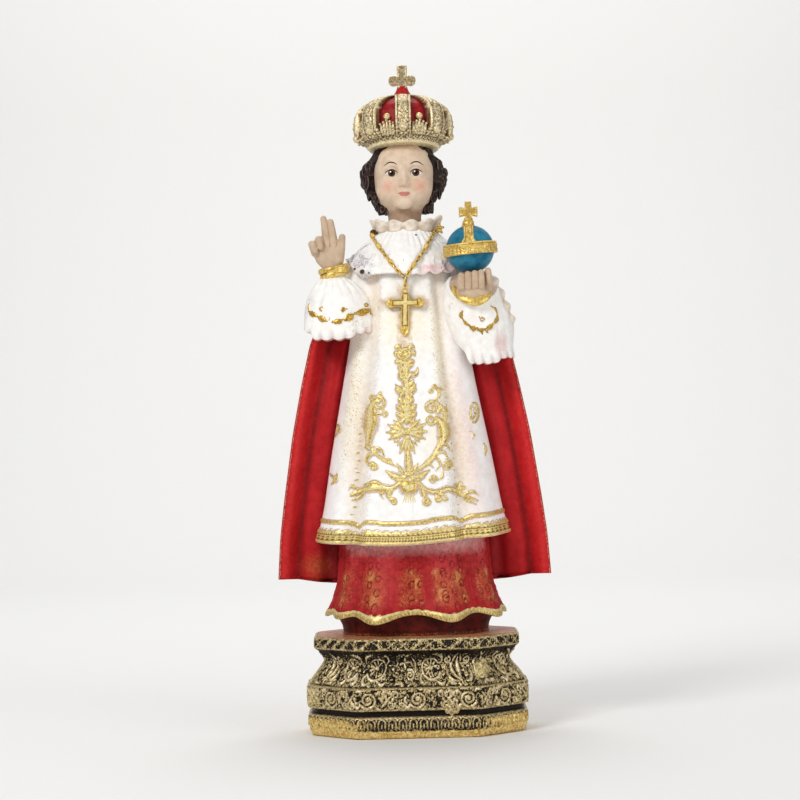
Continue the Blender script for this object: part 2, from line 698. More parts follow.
def between(a, b):
    return (a - b + 180) % 360 - 180


def near(degrees, place, width):
    """One at a place round the figure, falling off on both sides."""
    return bell(between(degrees, place), width)


def ridges(degrees, folds):
    return sum(height * near(degrees, at, width) for at, height, width in folds)


def brocade_flower():
    return rays(0, 0, 0.9, 2.6, range(15, 360, 60), 1.3, 0.4, 0.8) + [
        curl(0, 0, 0.3, 0.2, 0, 1, 1.1),
        curl(5, 2.6, 2, 0.5, 200, 1.5, 0.9),
        curl(-4.8, -2.8, 2.1, 0.5, 20, 1.5, 0.9),
        curl(4.4, -4.2, 1.6, 0.4, -20, -1.4, 0.8),
        curl(-4.2, 4.4, 1.5, 0.4, 160, -1.4, 0.8),
        stem([(3.2, 0.6), (5.6, -0.6), (5.2, -2.6)], 0.9),
        stem([(-3, -0.4), (-5.6, 0.8), (-5, 3)], 0.9),
        stem([(0.4, 3), (1.4, 5), (3.6, 5.8)], 1),
        stem([(-0.4, -3.2), (-1.2, -5.4), (-3.4, -6)], 1),
        stem([(0.6, -3.4), (2.2, -5.6), (1.4, -6.6)], 1),
    ]


def scattered(u, w, lines, pitch, rise):
    """Carves a motif in rows and columns over a cloth, every other column moved up by half a row."""
    column = np.floor(u / pitch)
    across = u - (column + 0.5) * pitch
    up = w - 0.5 * rise * (column % 2)
    return carve(across, up - rise * np.round(up / rise), lines)


def skirt():
    # [height, half width, fold, drop]
    drawn = [
        (15, 29, 0, 0), (SKIRT_HEM + 2.2, 36.6, 0.9, 1), (SKIRT_HEM, 38.2, 1, 1),
        (SKIRT_HEM + 0.9, 39, 1, 1), (16, 36, 0.75, 0.2), (24, 34, 0.5, 0), (56, 32, 0.25, 0),
    ]
    rows = refined(drawn, 0.6, 0.9)
    z, half, fold, drop = rows.T[:, :, None]
    degrees = around(310, 17)
    ridge = ridges(degrees, SKIRT_FOLDS)
    # The cloth between the brocade's panels is gathered in fine pleats
    bare = held(
        ridges(degrees, [(-47, 1, 5), (-16, 1, 5), (9, 1, 3.5), (46, 1, 6), (80, 1, 8), (-80, 1, 8)])
    )
    pleats = 0.22 * bare * cosine(degrees * 110)
    out = fold * ridge + pleats * smooth(z, 14, 20)
    points = oval(degrees, half, 0.7 * half, 0.68 * half, out, z - 0.8 * drop * ridge)
    outer = (np.arange(len(rows)) > np.argmax(rows[:, 1]) - 2)[:, None]
    lift = z - SKIRT_HEM
    u = degrees * 0.66
    band = outer * smooth(2.7 + 0.12 * np.sin(u * 1.7) + 0.1 * ridge - lift, -0.2, 0.2)
    plain = (1 - band) * (1 - 0.9 * bare)
    flowers = outer * plain * scattered(u, z, brocade_flower(), 11.6, 12.6)
    ring = [curl(0, 0, 1.45, 1.45, 0, 1, 0.75)]
    loops = np.maximum(scattered(u, z, ring, 5.3, 5.7), scattered(u + 2.2, z + 1.7, ring, 10.6, 8.3))
    loops = outer * plain * loops
    weave = (
        band * bell(lift - 1.35, 0.75) * (0.5 + 0.5 * np.sin(u * 4.2 + 2.5 * lift + 0.8 * np.sin(u * 0.9)))
    )
    points = raised(points, outer * (0.35 * flowers + 0.45 * band - 0.22 * loops - 0.15 * weave))
    patch = 0.5 + 0.5 * np.sin(u * 0.47 + 1.2 + 1.5 * np.sin(z * 0.13)) * np.sin(z * 0.34 + 0.11 * u)
    panel = outer * plain * smooth(34 - z, 0, 8) * smooth(z, 12, 16)
    shape = masked(
        rings(points),
        gold=band,
        weave=weave,
        edging=band * np.maximum(bell(lift - 2.5, 0.4), smooth(0.5 - lift, 0, 0.4)),
        dark=held(
            loops + 0.5 * bare * smooth(-pleats, 0.1, 0.2)
            + 0.6 * outer * smooth(-ridge, 0.4, 2.6) * (1 - band)
        ),
        touch=held(panel * (0.25 * flowers + 0.9 * smooth(patch, 0.6, 0.9))) * (1 - loops),
        dust=held(panel * (0.62 + 0.5 * patch)),
        coral=held(outer * ridge / 5 * smooth(z, 12, 17) + 0.3 * patch),
        mauve=outer * smooth(z, 32.5, 42.5) * smooth(cosine(degrees), 0.1, 0.8),
        inside=1 - outer,
    )
    brocade = paint(
        "red_brocade_acrylic",
        coat("#8c1519", "#ad2426", 0.52, mottle=2.6),
        coat("#b93438", "#c94c4c", 0.5, mask="coral", ragged=0.9, patch=3, edge=(0.2, 1), most=0.5),
        coat(
            "#a04c2a", "#c97f4a", 0.45, 0.2, mottle=1.6, mask="dust", ragged=2.6, patch=0.6,
            edge=(0.42, 1.25), most=0.8,
        ),
        coat(
            "#bd7444", "#e0a468", 0.45, 0.2, mottle=1.2, mask="touch", ragged=1.5, patch=0.5, edge=(0.4, 1),
            most=0.7,
        ),
        coat("#560c0f", "#7a1417", 0.58, mask="dark", ragged=0.8, patch=0.8, edge=(0.35, 0.85), most=0.85),
        coat("#d6a29e", "#f0cec8", 0.55, mask="mauve", ragged=0.5, patch=4, edge=(0.1, 1.2), most=0.75),
        coat("#260304", "#380707", 0.6, mask="inside"),
        coat(
            "#a88a46", "#e6cf8c", 0.4, 0.45, mottle=1, mask="gold", ragged=0.2, patch=0.8, edge=(0.35, 0.6),
        ),
        coat(
            "#5c4a20", "#85703a", 0.5, 0.2, mask="weave", ragged=0.7, patch=0.5, edge=(0.35, 0.8), most=0.8,
        ),
        coat(
            "#dcc68a", "#f8ecc0", 0.4, 0.3, mask="edging", ragged=0.5, patch=0.8, edge=(0.4, 0.8), most=0.9,
        ),
    )
    cast("skirt", [shape], brocade)


skirt()


# Gown
# The white robe falls from the chest to a wide hem, with a deep pleat down each side of its
# front panel. Gold embroidery stands proud of it, and a gold braid is sewn round the hem. The
# cast white is shaded with thin brown and pink in the pleats.
GOWN_HALF = [(38, 45.2), (44, 43.4), (55, 40.2), (80, 36), (102, 31.8), (130, 26.6), (150, 23.6), (166, 22)]
GOWN_FRONT = [(38, 32.6), (60, 30.8), (100, 27.2), (135, 24.2), (155, 21), (168, 17)]
GOWN_PLEAT_DEPTH = [(38, 5), (90, 3.8), (150, 2.4), (168, 1.2)]
LEFT_PLEAT = -41
RIGHT_PLEAT = 35
EMBROIDERY_MIDDLE = -2.1


def eased(stops, place, soften=5.0):
    """A value read off [place, value] stops, rounded where they meet."""
    at, value = np.array(stops, float).T
    return np.mean([np.interp(place + s, at, value) for s in np.linspace(-soften, soften, 7)], 0)


def gown_hem(degrees):
    side = np.abs(sine(degrees))
    dip = 0.9 * near(degrees, -6, 24)
    return 41.5 + 1.3 * sine(degrees) + 1.4 * side**3 - dip


def gown_point(degrees, z, out=0.0):
    folds = [
        (-60, 0.3, 12), (55, 0.3, 12), (-29, 0.14, 5), (24, 0.14, 5), (LEFT_PLEAT, -1, 7),
        (RIGHT_PLEAT, -1, 7),
    ]
    fold = eased(GOWN_PLEAT_DEPTH, z) * ridges(degrees, folds)
    soft = 0.35 * np.sin(np.radians(degrees) * 9 + z * 0.03) * smooth(np.abs(degrees), 8, 30)
    half = eased(GOWN_HALF, z) + out
    return oval(degrees, half, eased(GOWN_FRONT, z) + out, 0.5 * half, fold + soft, z)


def embroidery():
    """The gown's gold work as [x, z, width] lines, in mm across and above the plinth.

    The stalk and the pairs on both sides of it are drawn from its own middle line.
    """
    stalk = [
        curl(-0.2, 125.4, 2.9, 0.5, 200, 1.6, 1.5),
        stem([(-3.6, 121.8), (-0.2, 121.2), (3.2, 121.8)], 1.8, 0.8, 0.8),
        stem([(0.5, 104), (0.2, 112), (0, 121)], 2.4, 0.9, 0.9),
        stem([(0.3, 95.6), (0.2, 100), (0.2, 104.4)], 4.2, 0.6, 0.6),
        stem([(0.3, 72), (0.4, 76), (0.2, 81)], 2.2, 1, 0.8),
        stem([(-0.8, 66.3), (0.4, 66.1), (1.6, 66.3)], 4.4, 0.95, 0.95),
        stem([(-2.9, 69.6), (0.4, 69.2), (3.7, 69.6)], 0.9, 0.8, 0.8),
        stem([(0, 113.4), (2.2, 115.6), (4.8, 116.4), (5.4, 118.6)], 1.9),
        stem([(0, 112.6), (-1.6, 114.6), (-2.4, 117.6)], 2.2),
        stem([(0.2, 111.2), (2, 111.6), (3.4, 113.4)], 2),
        stem([(0, 118.4), (1.8, 119.8), (3.6, 120.4)], 1.8),
        stem([(0, 117.2), (-2.2, 118.6), (-3.2, 120.4)], 1.6),
        curl(0, 90.6, 0.5, 0.3, 0, 1, 2),
    ]
    pairs = [
        stem([(1.8, 127), (3, 128.6), (3.9, 128)], 1.6, 0.8, 0.6),
        stem([(2.4, 125.6), (3.8, 125.8), (4.1, 124.4)], 1.4, 0.8, 0.6),
        stem([(0, 109.2), (2, 108.9), (4.4, 109.4)], 2.6),
        stem([(1.4, 109.4), (3.4, 110.4), (4.4, 111.8)], 1.4),
        stem([(1, 108.4), (2.2, 106.6), (2, 104.8)], 1.3),
        stem([(0.2, 103.2), (2, 104), (3.2, 105.6)], 1.8),
        stem([(0.2, 100.4), (2.4, 100.8), (4.2, 102.6)], 2.2),
        stem([(0.2, 98), (2.4, 97.8), (4.3, 99.2)], 2.2),
        stem([(0.4, 96.4), (2.8, 95.2), (3.8, 96.4)], 1.6),
        stem([(0.8, 91.2), (4.4, 92.2), (8, 94)], 2.1),
        stem([(0.8, 90.6), (4.6, 90.6), (8.8, 90.6)], 2.2),
        stem([(0.8, 90), (4.4, 89), (7.8, 87.4)], 2.1),
        stem([(1.2, 92.2), (3.6, 94), (5.6, 95.8)], 1.5),
        stem([(3.4, 87.4), (5.8, 86)], 0.8),
        stem([(2.6, 86.6), (4.4, 84.4)], 0.8),
        stem([(0.6, 88.6), (1.6, 85.2), (3.3, 81.2)], 1.6),
        stem([(0.2, 88.4), (0.5, 84.4), (0.9, 80.6)], 1.4),
        stem([(0.6, 71.2), (2.4, 73.2), (4.4, 76.6)], 1.5),
        stem([(1, 70.8), (5, 71), (9.4, 73.6)], 2.2),
        stem([(1, 70.4), (4, 69.6), (7.2, 70.6)], 1.6),
    ]
    left = [
        stem([(-18.9, 86.4), (-18.3, 91.5), (-17.6, 96.3), (-17.4, 100.6), (-15.6, 104.4)], 4.9, 0.45, 0.5),
        curl(-14, 103.4, 3.2, 0.8, 150, -1.25, 1.5),
        stem([(-17.2, 104.4), (-17.6, 106.6), (-16, 107.4)], 1.3),
        stem([(-14.4, 106.4), (-13.2, 108), (-12.2, 106.8)], 1.2),
        curl(-11.6, 98.6, 1.5, 0.4, 120, -1.1, 0.9),
        stem([(-16.6, 100.2), (-13.6, 98.8), (-12.6, 100)], 1.1),
        stem([(-18.9, 87.2), (-17.4, 83), (-13, 78.8), (-5, 74.6)], 1.3, 0.8, 0.3),
        stem([(-17.6, 84.6), (-13.8, 83.2), (-11.8, 79.2)], 1.1),
        stem([(-18.6, 86), (-20.4, 84.4), (-18.4, 82.6)], 1.2),
        stem([(-12.4, 78.6), (-9.8, 78.4), (-8.4, 76.6)], 1),
        curl(-17.4, 78, 3.4, 1.2, 80, 0.62, 1.6),
        curl(-16.6, 75.8, 1.7, 0.5, 120, 1.1, 1.3),
        stem([(-17, 81.4), (-15.2, 82.6), (-14, 81.6)], 1),
    ]
    right = [
        stem([(12.4, 84), (14.2, 89), (13.8, 92.6), (11.8, 95.6)], 4.2, 0.5, 0.6),
        curl(9, 101, 3.5, 0.7, -40, 1.35, 1.4),
        curl(8.6, 95.8, 2.6, 0.6, 20, -1.2, 1.2),
        stem([(13.6, 92), (14.8, 96.6), (13.2, 101.4), (11.2, 104.2)], 1.9),
        stem([(13.8, 97), (15.6, 99), (15, 101.4)], 1.1),
        stem([(10.4, 104.2), (12.6, 106.6), (10.8, 109.8)], 1.1),
        curl(10.4, 110.2, 0.9, 0.3, 0, 1, 0.9),
        curl(12.6, 108.8, 1, 0.3, 0, 1, 0.9),
        curl(8.8, 108.2, 0.9, 0.3, 0, 1, 0.9),
        stem([(12.6, 85.4), (9.4, 79.6), (4.6, 75.2), (-0.4, 72.4)], 1.8, 0.9, 0.4),
        stem([(11.4, 84.2), (14.8, 84.6), (16.4, 82.2)], 1.3),
        stem([(9.6, 80.2), (13.8, 81.4), (15.4, 78.6)], 1.4),
        curl(15, 75.6, 2.4, 0.5, 80, -1.4, 1.1),
        stem([(7.4, 78), (10.6, 78.6), (12.2, 76), (10.2, 73.4)], 1.2),
        stem([(3.6, 75), (6.6, 76.6), (9.2, 74.6)], 1.4),
        curl(8.9, 69.3, 1.9, 0.4, 0, 1.5, 0.8),
        stem([(13.4, 73.4), (12.6, 70), (10.8, 69)], 1),
    ]
    foot = [
        stem([(-5.2, 68.4), (-9.4, 66), (-16, 66.4), (-22, 65.2), (-27.6, 63)], 3, 0.5, 0.4),
        stem([(-12, 66.6), (-16.4, 68.8), (-21.6, 67.6)], 1.6),
        stem([(-25, 64.4), (-27.2, 67), (-28.2, 65.2)], 1.5),
        stem([(-20, 65), (-24, 62), (-27.4, 60.6)], 1.4),
        stem([(-8.6, 66), (-10.8, 63), (-9.6, 60.4)], 2),
        curl(-8.6, 60, 1.5, 0.4, 150, -1.2, 1.1),
        stem([(-11, 65), (-14.2, 63.2), (-13, 61.4)], 1.2),
        stem([(2.6, 68), (6, 64.8), (10.6, 63.8), (15.4, 65), (20, 63), (28.4, 59.4)], 2.2, 0.7, 0.4),
        stem([(3.6, 67), (4.8, 62.8), (6.8, 60.6)], 2),
        curl(5.6, 59.8, 1.7, 0.4, 0, -1.3, 1.1),
        curl(11.2, 60.8, 1.5, 0.4, 100, 1.3, 1),
        curl(14, 60.4, 0.9, 0.3, 0, 1, 0.9),
        stem([(9.6, 64), (12.4, 62.6), (14.4, 62.2)], 1.4),
        stem([(22.6, 62.4), (26.4, 63.4), (29, 61.6)], 1.4),
        stem([(21, 61.8), (24.6, 59.4), (27.8, 57.8)], 1.3),
    ]
    rosette = rays(20.6, 65.2, 0, 2.4, range(0, 360, 72), 1.7, 0.6, 0.8)
    wreath = [
        curl(28, 98.3, 4.4, 4.4, 0, 1, 1.1) * (0.42, 1, 1) + (16.2, 0, 0),
        stem([(27.4, 95.6), (28.6, 98.2), (27.8, 101)], 1.3),
        stem([(26, 90.2), (27.6, 88.4), (26.6, 86.2)], 0.8),
        stem([(31.8, 84.4), (32.8, 81.6), (32.2, 78.8)], 1.2),
        stem([(-33.6, 96), (-32.4, 92.4), (-33.8, 89)], 1.9),
        stem([(-31.6, 93.6), (-32.8, 90)], 1.4),
        stem([(-36.4, 72.2), (-34.2, 70), (-36, 67.6)], 2),
        stem([(-33.4, 72.4), (-34.4, 69)], 1.5),
    ]
    fringe = [
        stem([(-1.7 + 0.5 * x, 63.2), (-1.7 + x, 59.2)], 0.6, 0.8, 0.6)
        for x in (-3, -1.8, -0.6, 0.6, 1.8, 3)
    ]
    middle = [line + (EMBROIDERY_MIDDLE, 0, 0) for line in stalk + pairs + flipped(pairs, -1)]
    return widened(middle, 1.34) + widened(left + right + foot, 1.18) + rosette + wreath, fringe


def gown():
    degrees = around(280, 34)
    hem = gown_hem(degrees)[None]
    # The hem turns under: [lift, out]
    turned = refined([(5, -10), (1.2, -3), (0, -0.5), (0.5, 0.35), (1, 0.5)], 0.6, 0.4)
    lift = np.r_[turned[:, 0], np.arange(1.4, 88, 0.5)][:, None]
    out = np.r_[turned[:, 1], np.full(len(lift) - len(turned), 0.5)][:, None]
    top = np.linspace(0, 1, 40)[1:, None]
    low = np.broadcast_to(hem + lift, (len(lift), degrees.size))
    z = np.r_[low, low[-1] + (168 - low[-1]) * top]
    out = np.r_[out, np.full((len(top), 1), 0.5)] * np.ones_like(z)
    out[-6:] -= np.linspace(0.2, 1.4, 6)[:, None]
    # The braid and the line over it sag a little where they cross the pleats
    sag = ridges(
        degrees, [(LEFT_PLEAT + 2, 1.9, 4.5), (RIGHT_PLEAT - 1, 1.7, 4.5), (-28, -0.7, 7), (18, -0.8, 9)],
    )
    braid_top = 6.3 + 0.3 * np.sin(np.radians(degrees) * 60) - 0.7 * sag
    above = z - hem
    out -= 0.5 * smooth(above, braid_top - 0.3, braid_top + 0.3) * (out > 0.2)
    points = gown_point(degrees[None], z, out)
    x = points[..., 0]
    front = smooth(cosine(degrees), 0.1, 0.25) * (above > 0.9)
    gold_work, fringe = embroidery()
    worked = front * carve(x, z, gold_work)
    fine = front * carve(x, z, fringe)
    # The braid: twisted cord along its upper edge, two stitched rows, and a fringed lower edge
    run = np.radians(degrees) * 40
    braid = smooth(above, 0.2, 0.7) * smooth(braid_top + 0.2 - above, 0, 0.4) * (out > -0.4)
    line_at = above + sag
    line = smooth(line_at, 8.8, 9.2) * smooth(10.8 - line_at, 0, 0.4)
    stitches = 0.5 + 0.5 * np.sin(run * 5.2)
    rows = bell(above - 2.3, 0.3) + bell(above - 3.5, 0.3)
    twist = bell(above - 5.1, 0.6) * (0.5 + 0.5 * np.sin(run * 3.1 + above * 2.5))
    tassels = smooth(1.9 - above, 0, 0.5) * (0.5 + 0.5 * np.sin(run * 6.3))
    seams = 0
    for pleat, low_z, high_z in ((LEFT_PLEAT - 4, 47, 116), (RIGHT_PLEAT - 2, 52, 128)):
        beads = (0.5 + 0.5 * np.cos(z * 2 * math.pi / 1.7)) * (0.6 + 0.4 * np.sin(z * 2.1))
        spread = near(degrees, pleat + 0.5 * np.sin(z * 0.9), 1.5)
        seams = seams + spread * beads * smooth(z, low_z, low_z + 3) * smooth(high_z - z, 0, 25)
    height = worked + 0.25 * fine + 0.55 * line + 0.5 * seams
    height += braid * (0.4 * twist + 0.25 * tassels - 0.4 * rows * stitches - 0.25 * bell(above - 4.3, 0.25))
    points = raised(points, height)
    halo = front * carve(x, z, widened(gold_work, 1.7))
    pendant_lines = [
        stem([(-1.7, 154), (-1.8, 143), (-2.2, 131)], 8.5, 1, 1),
        stem([(-10.4, 147.4), (-1.8, 147.6), (6.8, 147.8)], 8.5, 1, 1),
    ]
    amber = front * carve(x, z, pendant_lines) * (0.8 + 0.2 * np.sin(z * 1.1 + x))
    valleys = ridges(degrees, [(LEFT_PLEAT - 1, 1, 6), (RIGHT_PLEAT + 1, 1, 6)])
    pleats = ridges(degrees, [(LEFT_PLEAT - 3, 1, 11), (RIGHT_PLEAT + 3, 1, 10)])
    pleats = (
        pleats * (0.75 + 0.25 * np.sin(z * 0.08 + 1)) + 0.6 * smooth(np.abs(between(degrees, 0)), 62, 84)
    )
    chest = bell(x + 2, 13) * bell(z - 140, 17) + 0.5 * bell(x - 8, 9) * bell(z - 86, 16)
    panel = near(degrees, -56, 11) * bell(z - 108, 40) + near(degrees, 30, 8) * bell(z - 118, 26)
    edges = smooth(line_at, 8.2, 8.8) * smooth(11.4 - line_at, 0, 0.5)
    edges += smooth(above - braid_top, 0.1, 0.3) * smooth(braid_top + 1 - above, 0, 0.5)
    gap = 0.8 * smooth(np.abs(above - 1.9), 0.3, 0) + bell(above - 4.3, 0.22)
    gap += bell(above - 5.1, 0.6) * smooth(-np.sin(run * 3.1 + above * 2.5), 0.2, 0.9)
    dots = ridges(degrees, [(LEFT_PLEAT + 8, 0.9, 5), (RIGHT_PLEAT - 8, 0.9, 5)])
    shape = masked(
        rings(points),
        gold=np.maximum.reduce([smooth(worked, 0.36, 0.6), line, braid, 0.9 * smooth(seams, 0.2, 0.6)]),
        light=held(smooth(worked, 0.78, 0.97) + 0.55 * line + 0.75 * braid * (1 - rows * stitches)),
        vein=smooth(worked, 0.5, 0.9) + 0.6 * line + 0.4 * braid,
        pale_gold=fine,
        stitch=braid * np.maximum(rows * stitches * 1.3, gap),
        halo=np.maximum(halo * (1 - smooth(worked, 0.4, 0.7)), edges * (1 - line) * (1 - braid)),
        amber=amber,
        fold=held(valleys) * (above > 0.5) * smooth(165 - z, 0, 20),
        brown=held(pleats) * (above > 0.5),
        cream=held(chest + 0.9 * panel),
        pink=held(smooth(0.6 - above, 0, 0.5) + 0.7 * near(degrees, 46, 9) * bell(z - 85, 45)),
        speck=held(0.35 + panel + dots) * smooth(above, 10.5, 12),
    )
    embroidered = paint(
        "white_acrylic_with_gold_embroidery",
        coat("#f4f1ee", "#fefdfc", 0.55, mottle=3.5),
        coat("#f0e2b4", "#fbf2d8", 0.55, mask="cream", ragged=0.5, patch=5, edge=(0.15, 1.1), most=0.7),
        coat("#e0b0a8", "#f0d2ca", 0.55, mask="pink", ragged=0.4, patch=4, edge=(0.1, 1), most=0.75),
        coat("#e4c6a4", "#f4e2c8", 0.55, mask="brown", ragged=0.6, patch=2.5, edge=(0.3, 1.25), most=0.7),
        coat("#b09878", "#d6c3a4", 0.6, mask="fold", ragged=0.6, patch=2, edge=(0.35, 1.25), most=0.36),
        coat(
            "#a57329", "#d3a24c", 0.45, 0.3, mask="speck", ragged=3, patch=0.6, edge=(1.18, 1.42), most=0.75,
        ),
        coat("#a8702f", "#d8ab66", 0.5, mask="amber", ragged=0.9, patch=1.6, edge=(0.35, 1.25), most=0.85),
        coat("#8c5c22", "#bd8b45", 0.5, mask="halo", ragged=0.8, patch=0.8, edge=(0.4, 0.9), most=0.8),
        coat("#dfc682", "#f1e1ae", 0.45, 0.2, mask="pale_gold", ragged=0.4, edge=(0.3, 0.6)),
        coat(
            "#ac8838", "#f0d684", 0.36, 0.45, mottle=0.9, mask="gold", ragged=0.5, patch=0.6,
            edge=(0.38, 0.6),
        ),
        coat(
            "#f0dc92", "#fff4c6", 0.36, 0.25, mask="light", ragged=1, patch=0.8, edge=(0.45, 1.05), most=0.9,
        ),
        coat(
            "#5f3c12", "#84591f", 0.5, 0.2, mask="vein", ragged=2.4, patch=0.55, edge=(1.1, 1.35), most=0.75,
        ),
        coat(
            "#4e3010", "#6e4717", 0.5, 0.2, mask="stitch", ragged=0.5, patch=0.4, edge=(0.4, 0.8), most=0.85,
        ),
    )
    cast("gown", [shape], embroidered)


gown()


# Mantle
# A red cloak that hangs behind the gown from the shoulders, its edges turned forward on both
# sides. The lining is deepest red in its folds, and its edges are specked with gold and white.
MANTLE_HALF = [
    (22, 61.4), (43, 60), (60, 57.8), (89, 53.4), (113, 48.6), (133, 44), (146, 36), (158, 28), (170, 17),
]
MANTLE_BACK = [(22, 34), (60, 31), (110, 25), (145, 19), (170, 12)]
MANTLE_EDGE = [(22, -5), (100, -4), (150, 2), (170, 4)]
LINING_REACH = 63


def mantle_point(degrees, z):
    """A point of the cloak, and how far it is in from its edge: its own, not the gown's, side."""
    half = eased(MANTLE_HALF, z, 4)
    turned = between(degrees, 0)
    edge = eased(MANTLE_EDGE, z)
    x = half * turned / LINING_REACH
    inner = half - np.abs(x)
    valley = 6.5 * smooth(inner, 1, 9) - 2.4 * bell(inner - 15, 3.4) + 0.5 * np.sin(inner * 0.9 + z * 0.02)
    lining = edge + smooth(half, 20, 44) * valley + 0.8
    share = held((np.abs(turned) - LINING_REACH) / (180 - LINING_REACH))
    a = np.radians(90 + 90 * share**1.15)
    fold = cosine(9 * between(degrees, 180)) + 0.3 * np.sin(np.radians(14 * turned) + z * 0.02)
    fold = 2.9 * fold * smooth(share, 0.12, 0.45)
    width = half + 0.9 * np.sin(math.pi * np.minimum(1, share * 4))
    back = eased(MANTLE_BACK, z) + fold * eased([(22, 1), (140, 0.6), (170, 0.1)], z)
    outside = edge - np.cos(a) * (back - edge) + 3 * smooth(share, 0, 0.08)
    inside = np.abs(turned) < LINING_REACH
    x = np.where(inside, x, np.sign(turned) * width * np.sin(a))
    y = np.where(inside, lining, outside)
    return np.stack(np.broadcast_arrays(x, y, z), -1), inner, inside


def mantle():
    lining = np.linspace(-LINING_REACH + 0.25, LINING_REACH - 0.25, 121)
    outside = np.linspace(LINING_REACH + 0.15, 360 - LINING_REACH - 0.15, 110)
    degrees = np.r_[lining[60:], outside, lining[:60] + 360]
    z = np.linspace(25.4, 170, 100)[:, None]
    points, inner, inside = mantle_point(degrees[None], z)
    # The hem hangs lowest half way out on both sides
    points[..., 2] -= 2.6 * bell(np.abs(points[..., 0]) - 36, 14) * smooth(30 - z, 0, 4.6)
    rim = np.where(inside, bell(inner, 0.9), bell(np.abs(np.abs(between(degrees, 0)) - LINING_REACH), 1.4))
    x = points[..., 0]
    points = raised(points, 0.35 * rim + 0.006 * np.sin(x * 5) * np.sin(z * 0.31 + x))
    x = points[..., 0]
    crease = 0.75 * bell(inner - 8.3, 1.7) + 0.25 * smooth(inner, 7, 9)
    crease += 0.7 * smooth(inner, 13, 23) * (1 - 0.3 * (x > 0))
    hollow = 0.3 - 0.4 * cosine(9 * between(degrees, 180)) * smooth(130 - z, -30, 60)
    shape = masked(
        rings(points),
        deep=np.where(inside, crease, hollow),
        bright=np.where(inside, bell(inner - 2, 4.5), 0.15),
        rim=rim,
        dust=bell(x + 45, 9) * bell(z - 31, 7) * inside,
    )
    red_cloak = paint(
        "red_acrylic",
        coat("#b0181d", "#c42328", 0.5, mottle=6),
        coat("#5a0b0e", "#760f13", 0.55, mask="deep", ragged=0.35, patch=4, edge=(0.1, 1.1), most=0.95),
        coat("#c62a2b", "#d63636", 0.48, mask="bright", ragged=0.4, patch=3, edge=(0.1, 1.1), most=0.7),
        coat(
            "#c9a05a", "#f0e2c8", 0.45, 0.2, mask="rim", ragged=1.9, patch=0.8, edge=(0.95, 1.15), most=0.85,
        ),
        coat(
            "#8c5a28", "#b98a45", 0.42, 0.5, mask="dust", ragged=1.6, patch=0.5, edge=(0.5, 1.3), most=0.45,
        ),
        grit=0.8,
    )
    cast("mantle", [shape], red_cloak)


mantle()


# Shoulder cape
# White lace over the shoulders, cut in scallops. Its rings and half rounds are raised, and a
# thin grey-violet wash lies between them. The edge is touched with pink.
CAPE_ROWS = [
    (3, 21.5, 18, 1), (0.4, 26, 22.2, 1), (0, 26.7, 22.8, 1), (0.2, 27.3, 23.4, 1), (1, 27.7, 23.7, 1),
    (2, 27.4, 23.2, 0.9), (3.2, 27, 22.8, 0.75), (7, 25.2, 21.7, 0.35), (10, 23.2, 20.4, 0.2),
    (13.4, 20.8, 18.4, 0.1), (16, 18.4, 16.4, 0), (18.3, 16, 14.4, 0), (20.5, 13.6, 12.4, 0),
    (24, 11, 10.4, 0),
]


def lace():
    """The lace of one shoulder as [x, z, width] lines."""
    return [
        curl(-17.7, 170.2, 3.1, 3.1, 185, 0.48, 0.7),
        curl(-17.7, 170.2, 2.1, 2.1, 200, 0.4, 0.45),
        curl(-22.2, 165.9, 1.5, 0.5, 0, 1.6, 0.65),
        curl(-15.8, 165.6, 1.5, 0.5, 180, -1.6, 0.65),
        stem([(-19.3, 164.6), (-19, 167.2)], 0.7, 0.7, 0.7),
        stem([(-24.8, 167.4), (-24.6, 170.4), (-23, 172.8)], 0.7),
        stem([(-12.6, 163.8), (-11.6, 166), (-12.2, 168.4)], 0.6),
        stem([(-20.8, 172.8), (-17.6, 175), (-14.2, 174.6)], 0.6),
        curl(-4.6, 163.7, 0.9, 0.9, 60, 0.7, 0.5),
        curl(-8.4, 170.2, 0.8, 0.8, 200, 0.6, 0.4),
    ]


def scalloped(degrees):
    """How much the cape's edge is cut in scallops: only on the wearer's left and at the back."""
    return smooth(sine(degrees), 0.05, 0.25) + smooth(-cosine(degrees), 0, 0.3)


def cape_edge(degrees):
    """The height of the cape's edge, which hangs lower on the wearer's right."""
    waves = 0.8 - 1.6 * np.abs(cosine(degrees * 12.5)) ** 0.8
    waves = waves * held(scalloped(degrees) + near(degrees, -50, 12))
    return 160.8 + 7.2 * sine(degrees) ** 6 + waves - ridges(degrees, [(2, 0.9, 9), (-49, 2.6, 11)])


